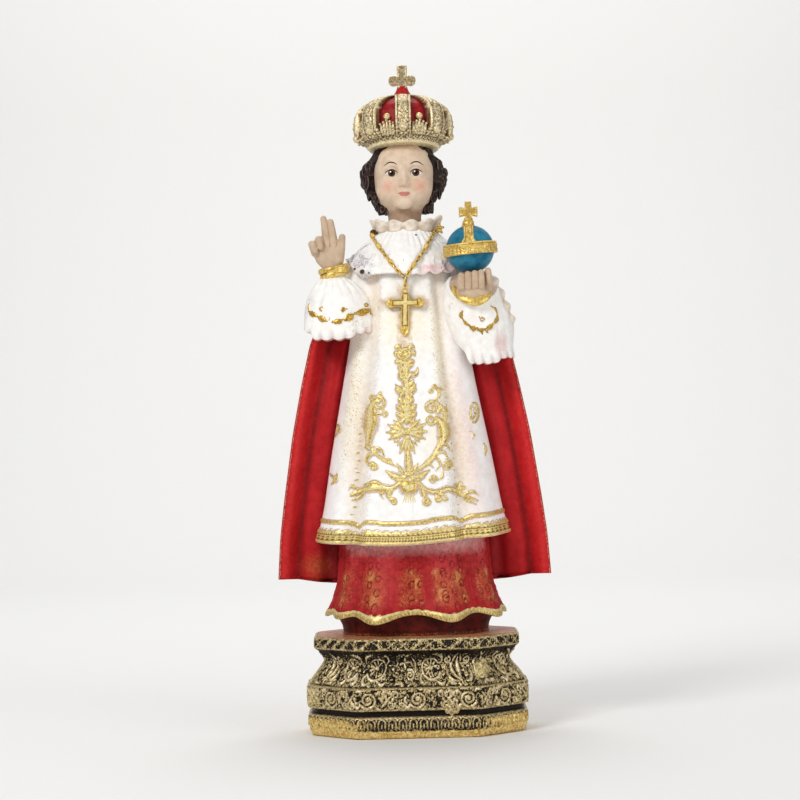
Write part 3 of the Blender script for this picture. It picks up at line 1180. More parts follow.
def shoulder_cape():
    degrees = around(300, 14)
    edge = cape_edge(degrees)
    lift, half, front, share = refined(CAPE_ROWS, 0.55, 0.5).T[:, :, None]
    z = lift + 160 + share * (edge - 160)
    outer = (np.arange(len(lift)) > np.argmin(lift[:, 0]))[:, None]
    sway = 0.55 * cosine(7 * degrees + 30) + 0.35 * sine(15 * degrees + 40)
    gathers = 0.28 * cosine(44 * degrees + 20 * sine(degrees * 5)) * bell(lift - 16.5, 3.4)
    ripple = 0.4 * cosine(degrees * 25) * held(scalloped(degrees)) * smooth(7 - lift, 0, 6) * outer
    points = oval(degrees, half, front, 0.8 * front, sway * smooth(24 - lift, 6, 20) + gathers - ripple, z)
    # The lace is the same on both shoulders
    x, y, height = points[..., 0], points[..., 1], points[..., 2]
    both = -np.abs(x)
    seam = (y < 0) * carve(x, height, [stem([(4.2, 179), (6.6, 173.4), (6, 169.4)], 0.7, 0.8, 0.5)])
    worked = outer * carve(both, height, lace())
    sunk = outer * smooth(carve(both, height, widened(lace(), 2.2)), 0.1, 0.5) * (1 - worked)
    points = raised(points, 0.45 * worked - 0.22 * seam)
    x, y = points[..., 0], points[..., 1]
    left = smooth(-x, 13, 23)
    right = smooth(sine(degrees), 0.08, 0.35)
    holes = [
        (-20.2, 162.4, 1.5), (-23.6, 163.9, 0.8), (-17.2, 161.7, 0.7), (-1.6, 166.8, 0.3), (4.2, 178.4, 0.6),
        (15.2, 163.2, 0.4),
    ]
    hole = [bell(x - a, r) * bell(height - b, r) * (y < 0) for a, b, r in holes]
    gathered = bell(lift - 18.6, 1.2) * cosine(44 * degrees) ** 2
    flushed = bell(lift - 5, 3) * np.sin(lift + degrees * 0.4) ** 2
    shape = masked(
        rings(points),
        wash=held(sunk * (0.45 + 0.6 * left) + 0.5 * seam),
        shade=held(0.75 * left + 0.3 * smooth(sine(degrees), 0.75, 1) + 0.3 * gathered),
        pink=held(outer * bell(lift - 1.8, 2.8) * (0.1 + 0.9 * right) + 0.3 * right * outer * flushed),
        hole=outer * np.maximum.reduce(hole),
        grime=outer * (y < 0) * bell(x + 19.5, 6.5) * smooth(165.2 - height, 0, 5),
        inside=1 - outer,
    )
    white_lace = paint(
        "white_acrylic_lace",
        coat("#f1eee9", "#fcfaf8", 0.5, mottle=3),
        coat("#cdc6cf", "#dedadd", 0.55, mask="shade", ragged=0.5, patch=4, edge=(0.1, 1.1), most=0.85),
        coat("#8f8893", "#b4aeb8", 0.55, mask="wash", ragged=0.5, patch=0.8, edge=(0.15, 0.8), most=0.85),
        coat("#dfa3a6", "#f0cdca", 0.52, mask="pink", ragged=0.7, patch=2.2, edge=(0.15, 1.1), most=0.8),
        coat("#7d7168", "#a89c92", 0.55, mask="grime", ragged=1.4, patch=1.2, edge=(0.3, 1.1), most=0.7),
        coat("#b59c8a", "#cdb9a8", 0.6, mask="inside", most=0.9),
        coat("#2a201d", "#4a3a34", 0.6, mask="hole", ragged=0.5, edge=(0.4, 0.7)),
    )
    cast("shoulder_cape", [shape], white_lace)


shoulder_cape()


# Neck ruffle
# A short stand-up frill of the same cloth, cast in eleven soft waves with one corner turned out
# on the wearer's left, painted ivory and a little dirty in its hollows.
def ruffle():
    degrees = around(280, 8)
    # [height, half width, how far it sways]
    drawn = [
        (177.4, 12.2, 0), (179.2, 13.8, 0.1), (179.9, 14.8, 0.5), (181.6, 15, 0.95), (183.2, 15.4, 1.3),
        (184, 15.9, 1.45), (184.7, 15.9, 1.45), (185, 15.4, 1.45), (184.7, 14.8, 1.3), (183.6, 14.1, 1),
        (182.4, 13.2, 0.7), (180.8, 11, 0.1), (180.4, 8.2, 0),
    ]
    z, half, swing = refined(drawn, 0.42, 0.25).T[:, :, None]
    a = np.radians(degrees)
    lobe = np.abs(np.cos(5.5 * (a - math.radians(9.5)) + 0.25 * np.sin(3 * a))) ** 1.4
    fin = near(degrees, 68, 10) * smooth(z, 180.5, 184)
    rise = 1.2 * np.sin(a) ** 2 * smooth(z, 179, 184) + 1.5 * fin
    out = swing * (1.2 * lobe - 0.7) + 0.6 * fin
    points = oval(degrees, half, 0.84 * half, 0.84 * half, out, z + rise + 0.85 * swing * (lobe - 0.6))
    inner = (np.arange(len(z)) > np.argmax(z[:, 0]))[:, None]
    hollow = held(1.25 - 1.5 * lobe) * smooth(184.6 - z, 0, 2.5) * (half > 13.4)
    hollow = hollow + bell(z - 179.6, 0.9) + 0.9 * inner * (half < 14.4) + 0.5 * fin
    shape = masked(rings(points), hollow=held(hollow))
    ivory = paint(
        "ivory_acrylic",
        coat("#dacab6", "#f0e6d8", 0.5, mottle=2),
        coat("#9f8670", "#bfa892", 0.55, mask="hollow", ragged=0.5, patch=1, edge=(0.3, 1.2), most=0.85),
    )
    cast("neck_ruffle", [shape], ivory)


ruffle()


# Sleeves
# Wide white bell sleeves, gathered at the wrist, with soft folds and a scalloped lace edge. A
# trim of gold leaves and dots is painted over low relief on the front of each.
SLEEVE_FOLDS = 16


def swept(path, radius, sides=12, flat=1.0, grooves=0, depth=0.12, side=(0, 1, 0)):
    """A skin round a path: flat squeezes it along its side, and grooves run along it."""
    path = np.array(path, float)
    radius = np.broadcast_to(radius, len(path)).astype(float)
    tangent = np.gradient(path, axis=0)
    tangent /= np.linalg.norm(tangent, axis=1, keepdims=True)
    side = np.array(side, float)
    points = []
    turn = np.arange(sides) * 2 * math.pi / sides
    for i in range(len(path)):
        side = side - side.dot(tangent[i]) * tangent[i]
        side /= np.linalg.norm(side)
        other = np.cross(tangent[i], side)
        ridge = radius[i] * (1 - depth * (0.5 - 0.5 * np.cos(grooves * turn)))
        across = np.outer(flat * ridge * np.cos(turn), side)
        points.append(path[i] + across + np.outer(ridge * np.sin(turn), other))
    return rings(np.array(points))


def sleeve(name, drawn, hem, leaves, lace_lines, shades, pink, finish, mouth=None):
    """One sleeve: hem gives how far its edge is lifted on the -X and the +X side."""
    degrees = around(215, 12)
    stations = refined(drawn, 0.58, 0.9)
    z, half, x, y, deep, fold, edge = stations.T[:, :, None]
    a = np.radians(degrees)
    lobe = np.abs(np.cos((SLEEVE_FOLDS * a + 0.6 * np.sin(2 * a)) / 2))
    slack = 0.6 * np.sin(5 * a + z * 0.05) + 0.4 * np.sin(3 * a + 1 - z * 0.04)
    out = fold * (1.6 * lobe - 1) + 0.55 * slack * smooth(half, 6, 13)
    points = oval(degrees, half, deep, deep, out, z, x, y)
    lifted = hem[0] * smooth(-np.sin(a), 0.6, 1.02) + hem[1] * smooth(np.sin(a), 0.15, 0.75)
    points[..., 2] += edge * (lifted - 0.9 * (lobe - 0.6))
    outer = (np.arange(len(stations)) > np.argmin(stations[:, 0]))[:, None]
    front = outer * smooth(np.cos(a), 0, 0.2)
    px, pz = points[..., 0], points[..., 2]
    worked = front * carve(px, pz, leaves)
    fine = front * carve(px, pz, lace_lines)
    rim, inside = 0, 1 - outer
    if mouth:
        reach = np.hypot((px - mouth[0]) / mouth[2], (pz - mouth[1]) / mouth[3])
        rim = front * bell(reach - 1, 0.09)
        inside = np.maximum(inside, front * smooth(0.97 - reach, -0.03, 0.06))
    points = raised(points, 0.6 * worked + 0.22 * fine + 0.8 * rim - 0.4 * inside * outer)
    low = outer * smooth(z.min() + 6 - z, 0, 5)
    shade = sum(
        s * bell(px - cx - lean * (pz - cz), rx) * bell(pz - cz, rz) for cx, cz, rx, rz, lean, s in shades
    )
    blush = bell(px - pink[0], 3.2) * bell(pz - pink[1], 5) + 0.4 * bell(z - z.min() - 0.8, 1.2)
    shape = masked(
        rings(points),
        gold=smooth(worked, 0.25, 0.6),
        halo=front * carve(px, pz, widened(leaves, 1.6)) * (1 - worked),
        tan=smooth(fine, 0.2, 0.8),
        wash=held(outer * shade + low * (1 - lobe) * 1.3 + 0.5 * front * smooth(np.abs(np.sin(a)), 0.86, 1)),
        pink=held(blush) * outer,
        inside=inside,
    )
    cast(name, [shape], finish)


def sleeves():
    white_and_gold = paint(
        "white_acrylic_with_gold_leaves",
        coat("#f3efe9", "#fdfbf8", 0.5, mottle=3),
        coat("#c6bfc3", "#dad5d6", 0.55, mask="wash", ragged=0.5, patch=2, edge=(0.25, 1.3), most=0.8),
        coat("#dfa9a8", "#edc4c1", 0.52, mask="pink", ragged=0.6, patch=1.4, edge=(0.15, 1), most=0.7),
        coat("#a98266", "#cbb09a", 0.6, mask="inside", ragged=0.3, patch=2, most=0.85),
        coat("#c2a679", "#dccaa4", 0.55, mask="tan", ragged=1.2, edge=(0.4, 1.1), most=0.6),
        coat("#b58a4a", "#d2ac72", 0.5, mask="halo", ragged=0.8, edge=(0.5, 1), most=0.6),
        coat(
            "#8f6a22", "#dcb75c", 0.36, 0.6, mottle=0.7, mask="gold", ragged=0.5, patch=0.6,
            edge=(0.38, 0.6),
        ),
    )
    # [height, half width, x, y, half depth, fold, scallop]
    right = [
        (138, 9, -30, -9, 7, 0, 0), (133, 14.4, -31.2, -11, 11.4, 0.5, 1),
        (132, 15.2, -31.3, -11, 12.2, 0.6, 1), (132.6, 15.8, -31.3, -11, 12.8, 0.6, 1),
        (135, 15.9, -31.3, -11, 12.9, 0.34, 0.6), (139, 15.8, -31.3, -11, 12.8, 0.1, 0),
        (143, 15.6, -31.2, -11, 12.6, 0.1, 0), (147, 15, -31.4, -11.2, 12, 0.1, 0),
        (151, 14, -31.3, -11.4, 11.4, 0.16, 0), (155.4, 10.9, -31.8, -11.8, 9.4, 0.28, 0),
        (158.3, 8.2, -32.4, -12, 7.4, 0.36, 0), (160.2, 5.6, -32.8, -12.1, 5.2, 0.2, 0),
        (162, 4.4, -32.8, -12.2, 4.2, 0, 0),
    ]
    leaves = [
        stem([(-44.2, 148.4), (-44.2, 146.2), (-43.4, 144.8)], 0.8),
        stem([(-44.2, 145.2), (-42.6, 143.9), (-40.4, 143)], 2.3, 0.3, 0.3),
        stem([(-40.4, 142.7), (-38.4, 141.6), (-36.3, 140.5)], 2.4, 0.3, 0.3),
        stem([(-35.6, 140.6), (-34.9, 141.6), (-35.2, 142.6)], 0.5),
        stem([(-33.7, 140.1), (-31.4, 140.1), (-29.1, 140.9)], 2.4, 0.4, 0.3),
        stem([(-28.2, 140.8), (-26.4, 141.9), (-24.7, 143.2)], 3, 0.5, 0.3),
        stem([(-24.8, 142.9), (-23.6, 144), (-22.6, 144.3)], 0.9),
        stem([(-23.9, 143.6), (-21, 144.1), (-17.7, 145)], 2.9, 0.3, 0.6),
        stem([(-17.8, 144.9), (-17, 143.6), (-16.6, 142.9)], 0.8),
    ]
    dots = [
        curl(-38.5, 146, 0.75, 0.7, 60, 0.6, 0.8), curl(-29.1, 145.3, 0.6, 0.4, 0, 1, 1.1),
        curl(-27.6, 145.6, 0.2, 0.1, 0, 1, 0.7), curl(-18.9, 147.4, 0.7, 0.6, 0, 1, 0.8),
    ]
    lace_lines = [
        curl(-19.4, 138.4, 1.9, 0.4, 60, 1.4, 0.6), curl(-23.4, 138.6, 1.5, 0.4, 200, -1.3, 0.6),
        curl(-20.4, 134.9, 1.2, 0.4, 0, 1.2, 0.5),
        stem([(-26.6, 136.4), (-25, 139.4), (-22, 140.8), (-18.4, 140.8)], 0.6),
        stem([(-17.2, 136.4), (-16.8, 139.6)], 0.6), curl(-24.4, 135.2, 1, 0.4, 90, 1.2, 0.5),
    ]
    shades = [
        (-44.2, 148, 1.9, 8, 0.34, 0.9), (-38.4, 149, 1.3, 5.5, 0.22, 0.6), (-33.4, 156, 0.9, 5, 0, 0.5),
        (-25.4, 152, 1, 5, -0.4, 0.35), (-35.8, 136, 1, 3, 0, 0.3),
    ]
    sleeve(
        "right_sleeve", right, (5.0, 2.8), widened(leaves + dots, 1.2), lace_lines, shades, (-17, 133),
        white_and_gold,
    )
    left = [
        (128, 8.5, 33.9, -11, 7, 0, 0), (121, 10, 35, -12, 8.6, 0.5, 1), (119.6, 11, 35, -12, 9.6, 0.6, 1),
        (120.4, 11.8, 34.8, -12, 10.2, 0.6, 1), (124, 12.2, 34, -12.2, 10.8, 0.34, 0.6),
        (128, 12.9, 33.1, -12.4, 11.4, 0.16, 0.2), (132, 14.1, 32.4, -12.6, 12.2, 0.16, 0),
        (137, 15, 31.7, -13, 12.9, 0.1, 0), (142, 14.8, 30.2, -13.4, 13.3, 0.1, 0),
        (147, 13.9, 28.8, -14, 13.5, 0.1, 0), (152, 12.6, 28, -14.6, 12.8, 0.15, 0),
        (157, 10.6, 27.4, -14, 10.6, 0.15, 0), (161, 6.8, 29.4, -12, 6, 0, 0),
    ]
    crescent = [
        stem([(23.9, 143.6), (23.2, 141.8), (24.2, 139.8)], 1.5, 0.4, 0.4),
        stem([(24.2, 139.8), (25.4, 138), (27.2, 137)], 1.3, 0.4, 0.4),
        stem([(27, 136.8), (28.6, 135.8), (30.4, 135.6)], 2, 0.4, 0.4),
        stem([(30.2, 135.4), (31.8, 135), (33.6, 135.2)], 1.7, 0.5, 0.5),
        stem([(33.8, 135.4), (35.6, 136), (37, 137.4)], 2, 0.4, 0.4),
        stem([(37.2, 137.4), (38.8, 139.2), (39.2, 141.2)], 1.6, 0.4, 0.4),
        stem([(39.2, 141.6), (38.2, 144.2), (35.9, 145.4)], 0.9), stem([(31.6, 134.8), (32.6, 133)], 0.8),
        stem([(28.6, 135.8), (28.4, 134.2)], 0.8), stem([(33.6, 134.8), (35, 133.6)], 0.8),
    ]
    ring_dot = [curl(32.4, 139.6, 0.8, 0.7, 0, 1, 0.7), curl(31.2, 140.4, 0.1, 0.1, 0, 1, 0.6)]
    worn = [
        curl(19.4, 145.6, 1.3, 1.2, 60, 0.75, 0.5), stem([(17, 143), (18, 141.8)], 0.5),
        curl(41.2, 134, 1, 0.5, 0, 1, 0.5),
    ]
    shades = [
        (38.6, 131, 0.9, 8, 0.1, 0.5), (19.2, 134, 1, 8, -0.35, 0.45), (24.2, 128, 0.8, 4, -0.5, 0.4),
        (30.2, 129, 0.8, 4, 0, 0.3), (45, 138, 1.6, 10, 0, 0.5),
    ]
    sleeve(
        "left_sleeve",
        left,
        (7.4, 2.6),
        widened(crescent, 1.3) + ring_dot,
        worn,
        shades,
        (40.7, 128.7),
        white_and_gold,
        (29.2, 155.2, 11.0, 8.2),
    )
    paths = [[(-14, 0, 163), (-24, -4, 156), (-31, -8, 145)], [(14, 0, 163), (25, -4, 156), (31, -8, 146)]]
    arms = [swept(line_through(p, 0.8), r, 40, grooves=9, depth=0.05) for p, r in zip(paths, (9.3, 9.4))]
    cast("upper_arms", arms, white_and_gold)

    # The frilled ivory edge that turns out along the left sleeve, from the wrist to the elbow
    inner = line_through(
        [
            (31, -13.6, 159.6), (33.4, -15.6, 155.6), (35.8, -17.6, 150.6), (39.2, -18.8, 145.4),
            (43.2, -17.8, 139.8), (45.2, -15, 135.6),
        ],
        0.25,
    )
    outer = line_through(
        [
            (37, -13.2, 161.4), (40, -14.6, 157.2), (42.2, -16.4, 152), (44.4, -16.4, 146.6),
            (46.6, -14.4, 141), (47.4, -13, 135.8),
        ],
        0.25,
    )
    outer = outer[np.linspace(0, len(outer) - 1, len(inner)).round().astype(int)]
    along = np.linspace(0, 1, len(inner))[:, None, None]
    turn = np.linspace(0, 2 * math.pi, 25)[:-1][None, :, None]
    share = 0.5 + 0.5 * np.cos(turn)
    frill = inner[:, None] * (1 - share) + outer[:, None] * share
    # Its outer edge is cut in four rounded lobes, which curl to and fro
    lobe = np.abs(np.cos((along * 4.4 + 0.25) * math.pi)) ** 1.4
    frill = (
        frill + share * ((1.5 * lobe - 0.7) * (1, 0, 0.3) - 1.4 * lobe * (0, 1, 0))
        + np.sin(turn) * (0, -0.85, 0)
    )
    hollow = held(0.6 * (1 - lobe) * share + 1.1 * smooth(0.7 - share, 0, 0.6))
    ivory_frill = paint(
        "ivory_frill_acrylic",
        coat("#d6c6b4", "#eee3d6", 0.52, mottle=2),
        coat("#a0876c", "#bca58a", 0.55, mask="hollow", ragged=0.4, patch=1.2, edge=(0.2, 1.1), most=0.85),
    )
    cast("left_frill", [masked(rings(frill), hollow=hollow[..., 0])], ivory_frill)


sleeves()


# Cuffs
# A broad gold band with crossing folds round the right wrist, and a rolled gold edge that
# dips to a point in front of the left one. Their gold lies over brown.
def antique_gold(name="antique_gold_paint"):
    """Gold over brown: bright on what stands proud, brown where it is worn or hollow."""
    return paint(
        name,
        coat("#c29840", "#f4da88", 0.34, 0.45, mottle=1.2),
        coat(
            "#4f3012", "#7d5220", 0.5, 0.15, mask="hollow", ragged=0.7, patch=0.6, edge=(0.4, 0.9),
            most=0.85,
        ),
        coat("#f2de8c", "#fff6c4", 0.34, 0.2, mask="light", ragged=0.4, edge=(0.4, 0.8), most=0.9),
        grit=0.4,
    )


def rotation(tip, roll):
    """Tips about the X axis, then rolls about the Y axis."""
    a, b = math.radians(tip), math.radians(roll)
    tipped = np.array([[1, 0, 0], [0, math.cos(a), -math.sin(a)], [0, math.sin(a), math.cos(a)]])
    rolled = np.array([[math.cos(b), 0, math.sin(b)], [0, 1, 0], [-math.sin(b), 0, math.cos(b)]])
    return tipped @ rolled


def placed(shape, by, tip=0, roll=0):
    """Turns a shape about nought and moves it."""
    shape["points"] = shape["points"] @ rotation(tip, roll).T + by
    return shape


def cuffs():
    # The right cuff is one broad band with two folds that cross it
    degrees = around(120)
    turn = np.linspace(0, 2 * math.pi, 37)[:, None]
    across, outer = -np.cos(turn), smooth(np.sin(turn), 0, 0.5)
    a = np.radians(degrees)
    upper, lower = 0.38 + 0.34 * np.sin(2 * a + 0.9), -0.4 + 0.3 * np.sin(2 * a + 2.6)
    folds = 0.5 * smooth(across - upper, -0.12, 0.12) + 0.45 * smooth(lower - across, -0.12, 0.12)
    skin = oval(degrees, 5.9, 5.5, 5.5, 0.75 * np.sin(turn) + outer * folds, 2.5 * across)
    creases = bell(across - upper + 0.1, 0.1) + bell(across - lower - 0.1, 0.1)
    right = masked(rings(skin, low=False, high=False), hollow=0.9 * outer * creases)
    bands = [placed(right, (-32.8, -12.2, 163), 4, -12)]
    # The left one is a rolled edge with a bead along both sides
    dip = [
        (19.9, -21.4, 155.2), (21.4, -25, 152.2), (24.9, -28.3, 149.5), (30, -29.7, 147.9),
        (33.6, -28.8, 149.2), (35.6, -26.6, 151.4), (36.3, -23.8, 153.6),
    ]
    path = line_through(dip, 0.4)
    bulk = np.sin(math.pi * np.linspace(0, 1, len(path))) ** 0.7
    rolls = [
        (0, 0, 0.3 + 2.5 * bulk, 0.5), (1, -0.9, 0.2 + 0.5 * bulk, 1), (-1.1, -0.8, 0.2 + 0.4 * bulk, 1),
    ]
    for up, forward, radius, flat in rolls:
        bands.append(swept(path + (0, forward, 0) + np.outer(bulk, (0, 0, up)), radius, 26, flat=flat))
    cast("cuffs", bands, antique_gold())


cuffs()


# Hands
# The right is raised in blessing, two fingers up and two folded into the palm. The left is
# closed under the orb. Both are a matt flesh colour, browner between the fingers.
def limb(*stations):
    """The distance from a bar that swells from [x, y, z, radius] to the next."""
    stations = np.array(stations, float)

    def distance(p):
        best = None
        for a, b in zip(stations[:-1], stations[1:]):
            run = b[:3] - a[:3]
            t = held(((p - a[:3]) @ run) / (run @ run))
            away = np.sqrt(((p - a[:3] - t[..., None] * run) ** 2).sum(-1)) - (a[3] + (b[3] - a[3]) * t)
            best = away if best is None else np.minimum(best, away)
        return best

    return distance


def egg(centre, radii):
    """The distance from an egg with three radii."""

    def distance(p):
        q = (p - np.array(centre, float)) / radii
        k = np.sqrt((q**2).sum(-1)) + 1e-9
        return k * (k - 1) / np.sqrt(((q / radii) ** 2).sum(-1) + 1e-12)

    return distance


def joined(one, other, blend):
    """Two distances run into each other, and how much they do at each place."""
    overlap = np.maximum(blend - np.abs(one - other), 0) / blend
    return np.minimum(one, other) - overlap**2 * blend / 4, overlap


def melted(parts, p, blend):
    """One distance from parts run into each other, and how much they do at each place."""
    whole, fill = parts[0](p), 0
    for part in parts[1:]:
        whole, overlap = joined(whole, part(p), blend)
        fill = np.maximum(fill, overlap)
    return whole, fill


def modelled(distance, low, high, voxel):
    """A closed skin where a distance is nought, in a box from its low to its high corner."""
    axes = [np.arange(a, b + voxel, voxel) for a, b in zip(low, high)]
    p = np.stack(np.meshgrid(*axes, indexing="ij"), -1)
    grid = openvdb.FloatGrid(voxel)
    grid.copyFromArray(distance(p).astype(np.float32) / voxel)
    points, quads = grid.convertToQuads(0.0)
    skin = {
        "points": points * voxel + np.array(low),
        "quads": quads.astype(int),
        "tris": np.zeros((0, 3), int),
    }
    return {**skin, "grid": (len(points),), "masks": {}}


def flesh(name, dark, light):
    return paint(
        name,
        coat(dark, light, 0.48, mottle=4),
        coat("#cf8c74", "#da9f88", 0.48, mask="blush", ragged=0.2, patch=2.5, edge=(0.05, 1.1), most=0.75),
        coat("#7d543a", "#9c7252", 0.5, mask="crease", ragged=0.3, edge=(0.25, 1), most=0.75),
        coat("#b9605a", "#c8736b", 0.4, mask="lips", ragged=0.15, patch=0.4, edge=(0.3, 0.7), most=0.85),
        grit=0.35,
        depth=0.015,
    )


hand_flesh = flesh("hand_flesh_acrylic", "#bda48a", "#ccb59b")


def hand(name, parts, fingers, low, high, creases=()):
    """One hand, melted together from its palm and fingers, with the creases [x, low, high] between them."""
    shape = modelled(lambda p: melted(parts + fingers, p, 0.9)[0], low, high, 0.34)
    p = shape["points"]
    crease = (
        0.9 * smooth(melted(fingers, p, 0.9)[1], 0.25, 0.9) * smooth(p[:, 2], low[2] + 16.5, low[2] + 18.5)
    )
    x, y, z = p.T
    for at, bottom, top in creases:
        line = bell(x - at, 0.36) * smooth(z, bottom, bottom + 1) * smooth(top - z, 0, 1) * (y < -26)
        crease = np.maximum(crease, line)
    masked(shape, crease=crease, blush=0.35 * bell(crease - 0.4, 0.3), lips=0)
    cast(name, [shape], hand_flesh)


def right_hand():
    parts = [
        limb((-33.6, -12.2, 158, 4.2), (-34, -12.4, 165.5, 4.1)),
        egg((-35, -12.3, 171.2), (6.6, 2.9, 7.2)),
        egg((-31.4, -13, 169.4), (2.7, 2.3, 4.6)),
    ]
    fingers = [
        limb((-35.9, -12.4, 175.2, 1.85), (-36.4, -12.9, 181.2, 1.6), (-37, -13.3, 186.7, 1.35)),
        limb((-32.6, -12.4, 175, 1.9), (-33.2, -12.9, 180.4, 1.72), (-33.9, -13.4, 185, 1.5)),
        limb(
            (-38.9, -12.8, 174.2, 1.9), (-39.2, -13.6, 177.1, 1.9), (-38.9, -15.6, 175.8, 1.6),
            (-38.5, -15.9, 173.8, 1.4),
        ),
        limb(
            (-41.2, -12.8, 171.4, 1.7), (-42.4, -13.8, 175.3, 1.65), (-41.9, -15.6, 173.9, 1.5),
            (-41, -15.7, 172, 1.25),
        ),
        limb((-30.6, -13, 168, 2.3), (-29.5, -13.4, 173, 1.95), (-28.8, -14, 178.1, 1.5)),
    ]
    hand("right_hand", parts, fingers, (-46, -20, 156), (-26, -7, 189.5))


def left_hand():
    fingers = []
    for x, top in ((23.4, 160.3), (26.5, 160.9), (29.5, 161.2), (32.4, 161.5)):
        stations = [
            (x, -27.4, 151.6, 1.7), (x, -30.6, 154, 1.7), (x, -31.4, 157.2, 1.62),
            (x, -30.4, top - 1.4, 1.45),
        ]
        fingers.append(limb(*stations))
    fingers.append(limb((34.6, -25, 151.8, 2.4), (35.6, -28.6, 156.4, 1.9), (35.4, -28.4, 160.8, 1.5)))
    parts = [
        limb((29, -12, 149.6, 5.2), (29, -20, 151, 5.8)),
        limb((28.6, -18, 149.4, 5.7), (29, -23.6, 149.6, 5.2)),
        egg((28.5, -21.5, 155.8), (6.6, 6.4, 5.3)),
        limb((24.6, -24.6, 153.2, 3), (33, -24.4, 153.2, 3.4)),
        limb((24.2, -28.6, 151.2, 1.7), (29, -30, 150.6, 2), (34, -28.4, 151.2, 1.8)),
    ]
    creases = [(24.9, 152.4, 161), (28, 152.4, 161), (30.95, 152.4, 161), (33.9, 152.2, 161)]
    hand("left_hand", parts, fingers, (19, -35, 143), (42, -6, 164), creases)


right_hand()
left_hand()


# Orb
# A globe in deep teal enamel paint with a gold belt, a gold strap over its upper half and a
# gold cross. The belt's middle is grained between two raised edges.
ORB = (28, -22, 170.9)
ORB_RADIUS = 10.7


def cross_skin(height, crossing, arm, neck, end, top, thick, lobe=0.0):
    """A cross drawn upwards from the foot of its stem: half widths at its neck, arm ends and top."""

    def distance(p):
        x, y, z = p[..., 0], p[..., 1], p[..., 2] - crossing
        across = np.maximum(np.abs(z) - neck - (end - neck) * np.abs(x) / arm, np.abs(x) - arm)
        reach = height - crossing
        up = np.maximum(np.abs(x) - neck - (top - neck) * np.clip(z, 0, None) / reach, z - reach)
        down = np.maximum(np.abs(x) - 1.2 * neck, -z - crossing)
        flat = np.minimum(across, np.maximum(up, down))
        if lobe:
            flat = np.minimum(flat, np.hypot(np.abs(x) - arm, z) - lobe)
        rim = 0.35 * smooth(flat, -0.75, -0.45) * smooth(-flat, 0.1, 0.3)
        grains = 0.14 * np.sin(x * 4.5) * np.sin(p[..., 2] * 4.5) * smooth(-flat, 0.5, 0.9)
        return np.maximum(flat, np.abs(y) - thick / 2 - rim + grains) - 0.12

    margin = 1
    low = (-arm - lobe - margin, -thick / 2 - margin, -margin)
    high = (arm + lobe + margin, thick / 2 + margin, height + margin)
    skin = modelled(distance, low, high, 0.24)
    x, y, z = np.abs(skin["points"] - (0, 0, crossing)).T
    return masked(skin, hollow=0.6 * ((y > 0.5 * thick) & (np.minimum(x, z) < 0.75 * neck)))


def orb():
    degrees = around(120)
    up = np.linspace(-math.pi / 2 + 0.02, math.pi / 2 - 0.02, 64)[:, None]
    wide = ORB_RADIUS * np.cos(up)
    globe = oval(degrees, wide, wide, wide, 0, ORB_RADIUS * np.sin(up))
    teal = paint(
        "teal_enamel",
        coat("#195f7e", "#33839e", 0.3, mottle=4),
        coat("#0d4058", "#14506b", 0.35, mask="hollow", ragged=0.4, edge=(0.1, 1), most=0.8),
        depth=0.012,
    )
    shade = bell(globe[..., 2], 2.9) + smooth(-globe[..., 2], 4, 10) * 0.5
    cast("orb", [placed(masked(rings(globe), hollow=held(shade)), ORB)], teal)

    # [height, radius]: a broad grained band under two thin ridges
    drawn = [
        (-2.2, 9.6), (-2.7, 11.2), (-2.6, 12), (-2.2, 12.3), (-1.9, 11.9), (0.9, 11.9), (1.1, 12.25),
        (1.4, 12.25), (1.55, 11.7), (1.8, 11.7), (2, 12.1), (2.4, 12.1), (2.7, 11.2), (2.2, 9.6),
    ]
    degrees = around(260)
    z, radius = refined(drawn, 0.28, 0.08).T[:, :, None]
    grain = (
        smooth(z, -1.9, -1.7) * smooth(0.9 - z, 0, 0.2)
        * np.sin(np.radians(degrees) * 44 + 1.5 * np.sin(z * 5))
        * np.cos(z * 4.6 + np.sin(np.radians(degrees) * 9))
    )
    belt = oval(degrees, radius, radius, radius, 0.28 * grain, z)
    hollow = held(0.8 * smooth(-grain, 0.2, 0.6) + 0.8 * bell(z - 1.68, 0.16) + 0.5 * (radius < 10.8))
    belt = masked(rings(belt), hollow=hollow)
    belt["points"] = belt["points"] @ rotation(0, -4.5).T
    angle = np.radians(np.linspace(6, 174, 80))[:, None]
    tip = np.abs(angle - math.pi / 2)
    section = [
        (-1, 9.5), (-1.15, 10.7), (-0.95, 11.3), (-0.72, 10.9), (-0.4, 10.85), (0, 11), (0.4, 10.85),
        (0.72, 10.9), (0.95, 11.3), (1.15, 10.7), (1, 9.5),
    ]
    across, reach = np.array(section).T
    wide = 1.9 + 0.6 * smooth(0.42 - tip, 0, 0.2) + 1.2 * smooth(tip, 1.08, 1.4)
    reach = reach + 0.2 * np.sin(angle * 60) * bell(across, 0.5)
    strap = np.stack([across * wide - 0.7, -reach * np.cos(angle), reach * np.sin(angle)], -1)
    strap_hollow = 0.8 * bell(np.abs(across) - 0.7, 0.16)
    seat = swept(
        [(-0.6, 0, 9.5), (-0.6, 0, 11.4), (-0.5, 0, 12.4), (-0.5, 0, 12.9), (-0.5, 0, 13.8)],
        [2.7, 2.65, 2.5, 2, 1.9], 28,
    )
    gold = [
        placed(belt, ORB),
        placed(masked(rings(strap), hollow=strap_hollow), ORB),
        placed(seat, ORB),
        placed(cross_skin(8.2, 3.7, 4, 1.35, 2.2, 1.35, 2.6), (ORB[0] - 0.5, ORB[1], ORB[2] + 12.9)),
    ]
    cast("orb_mounts", gold, antique_gold("orb_gold_paint"))


orb()


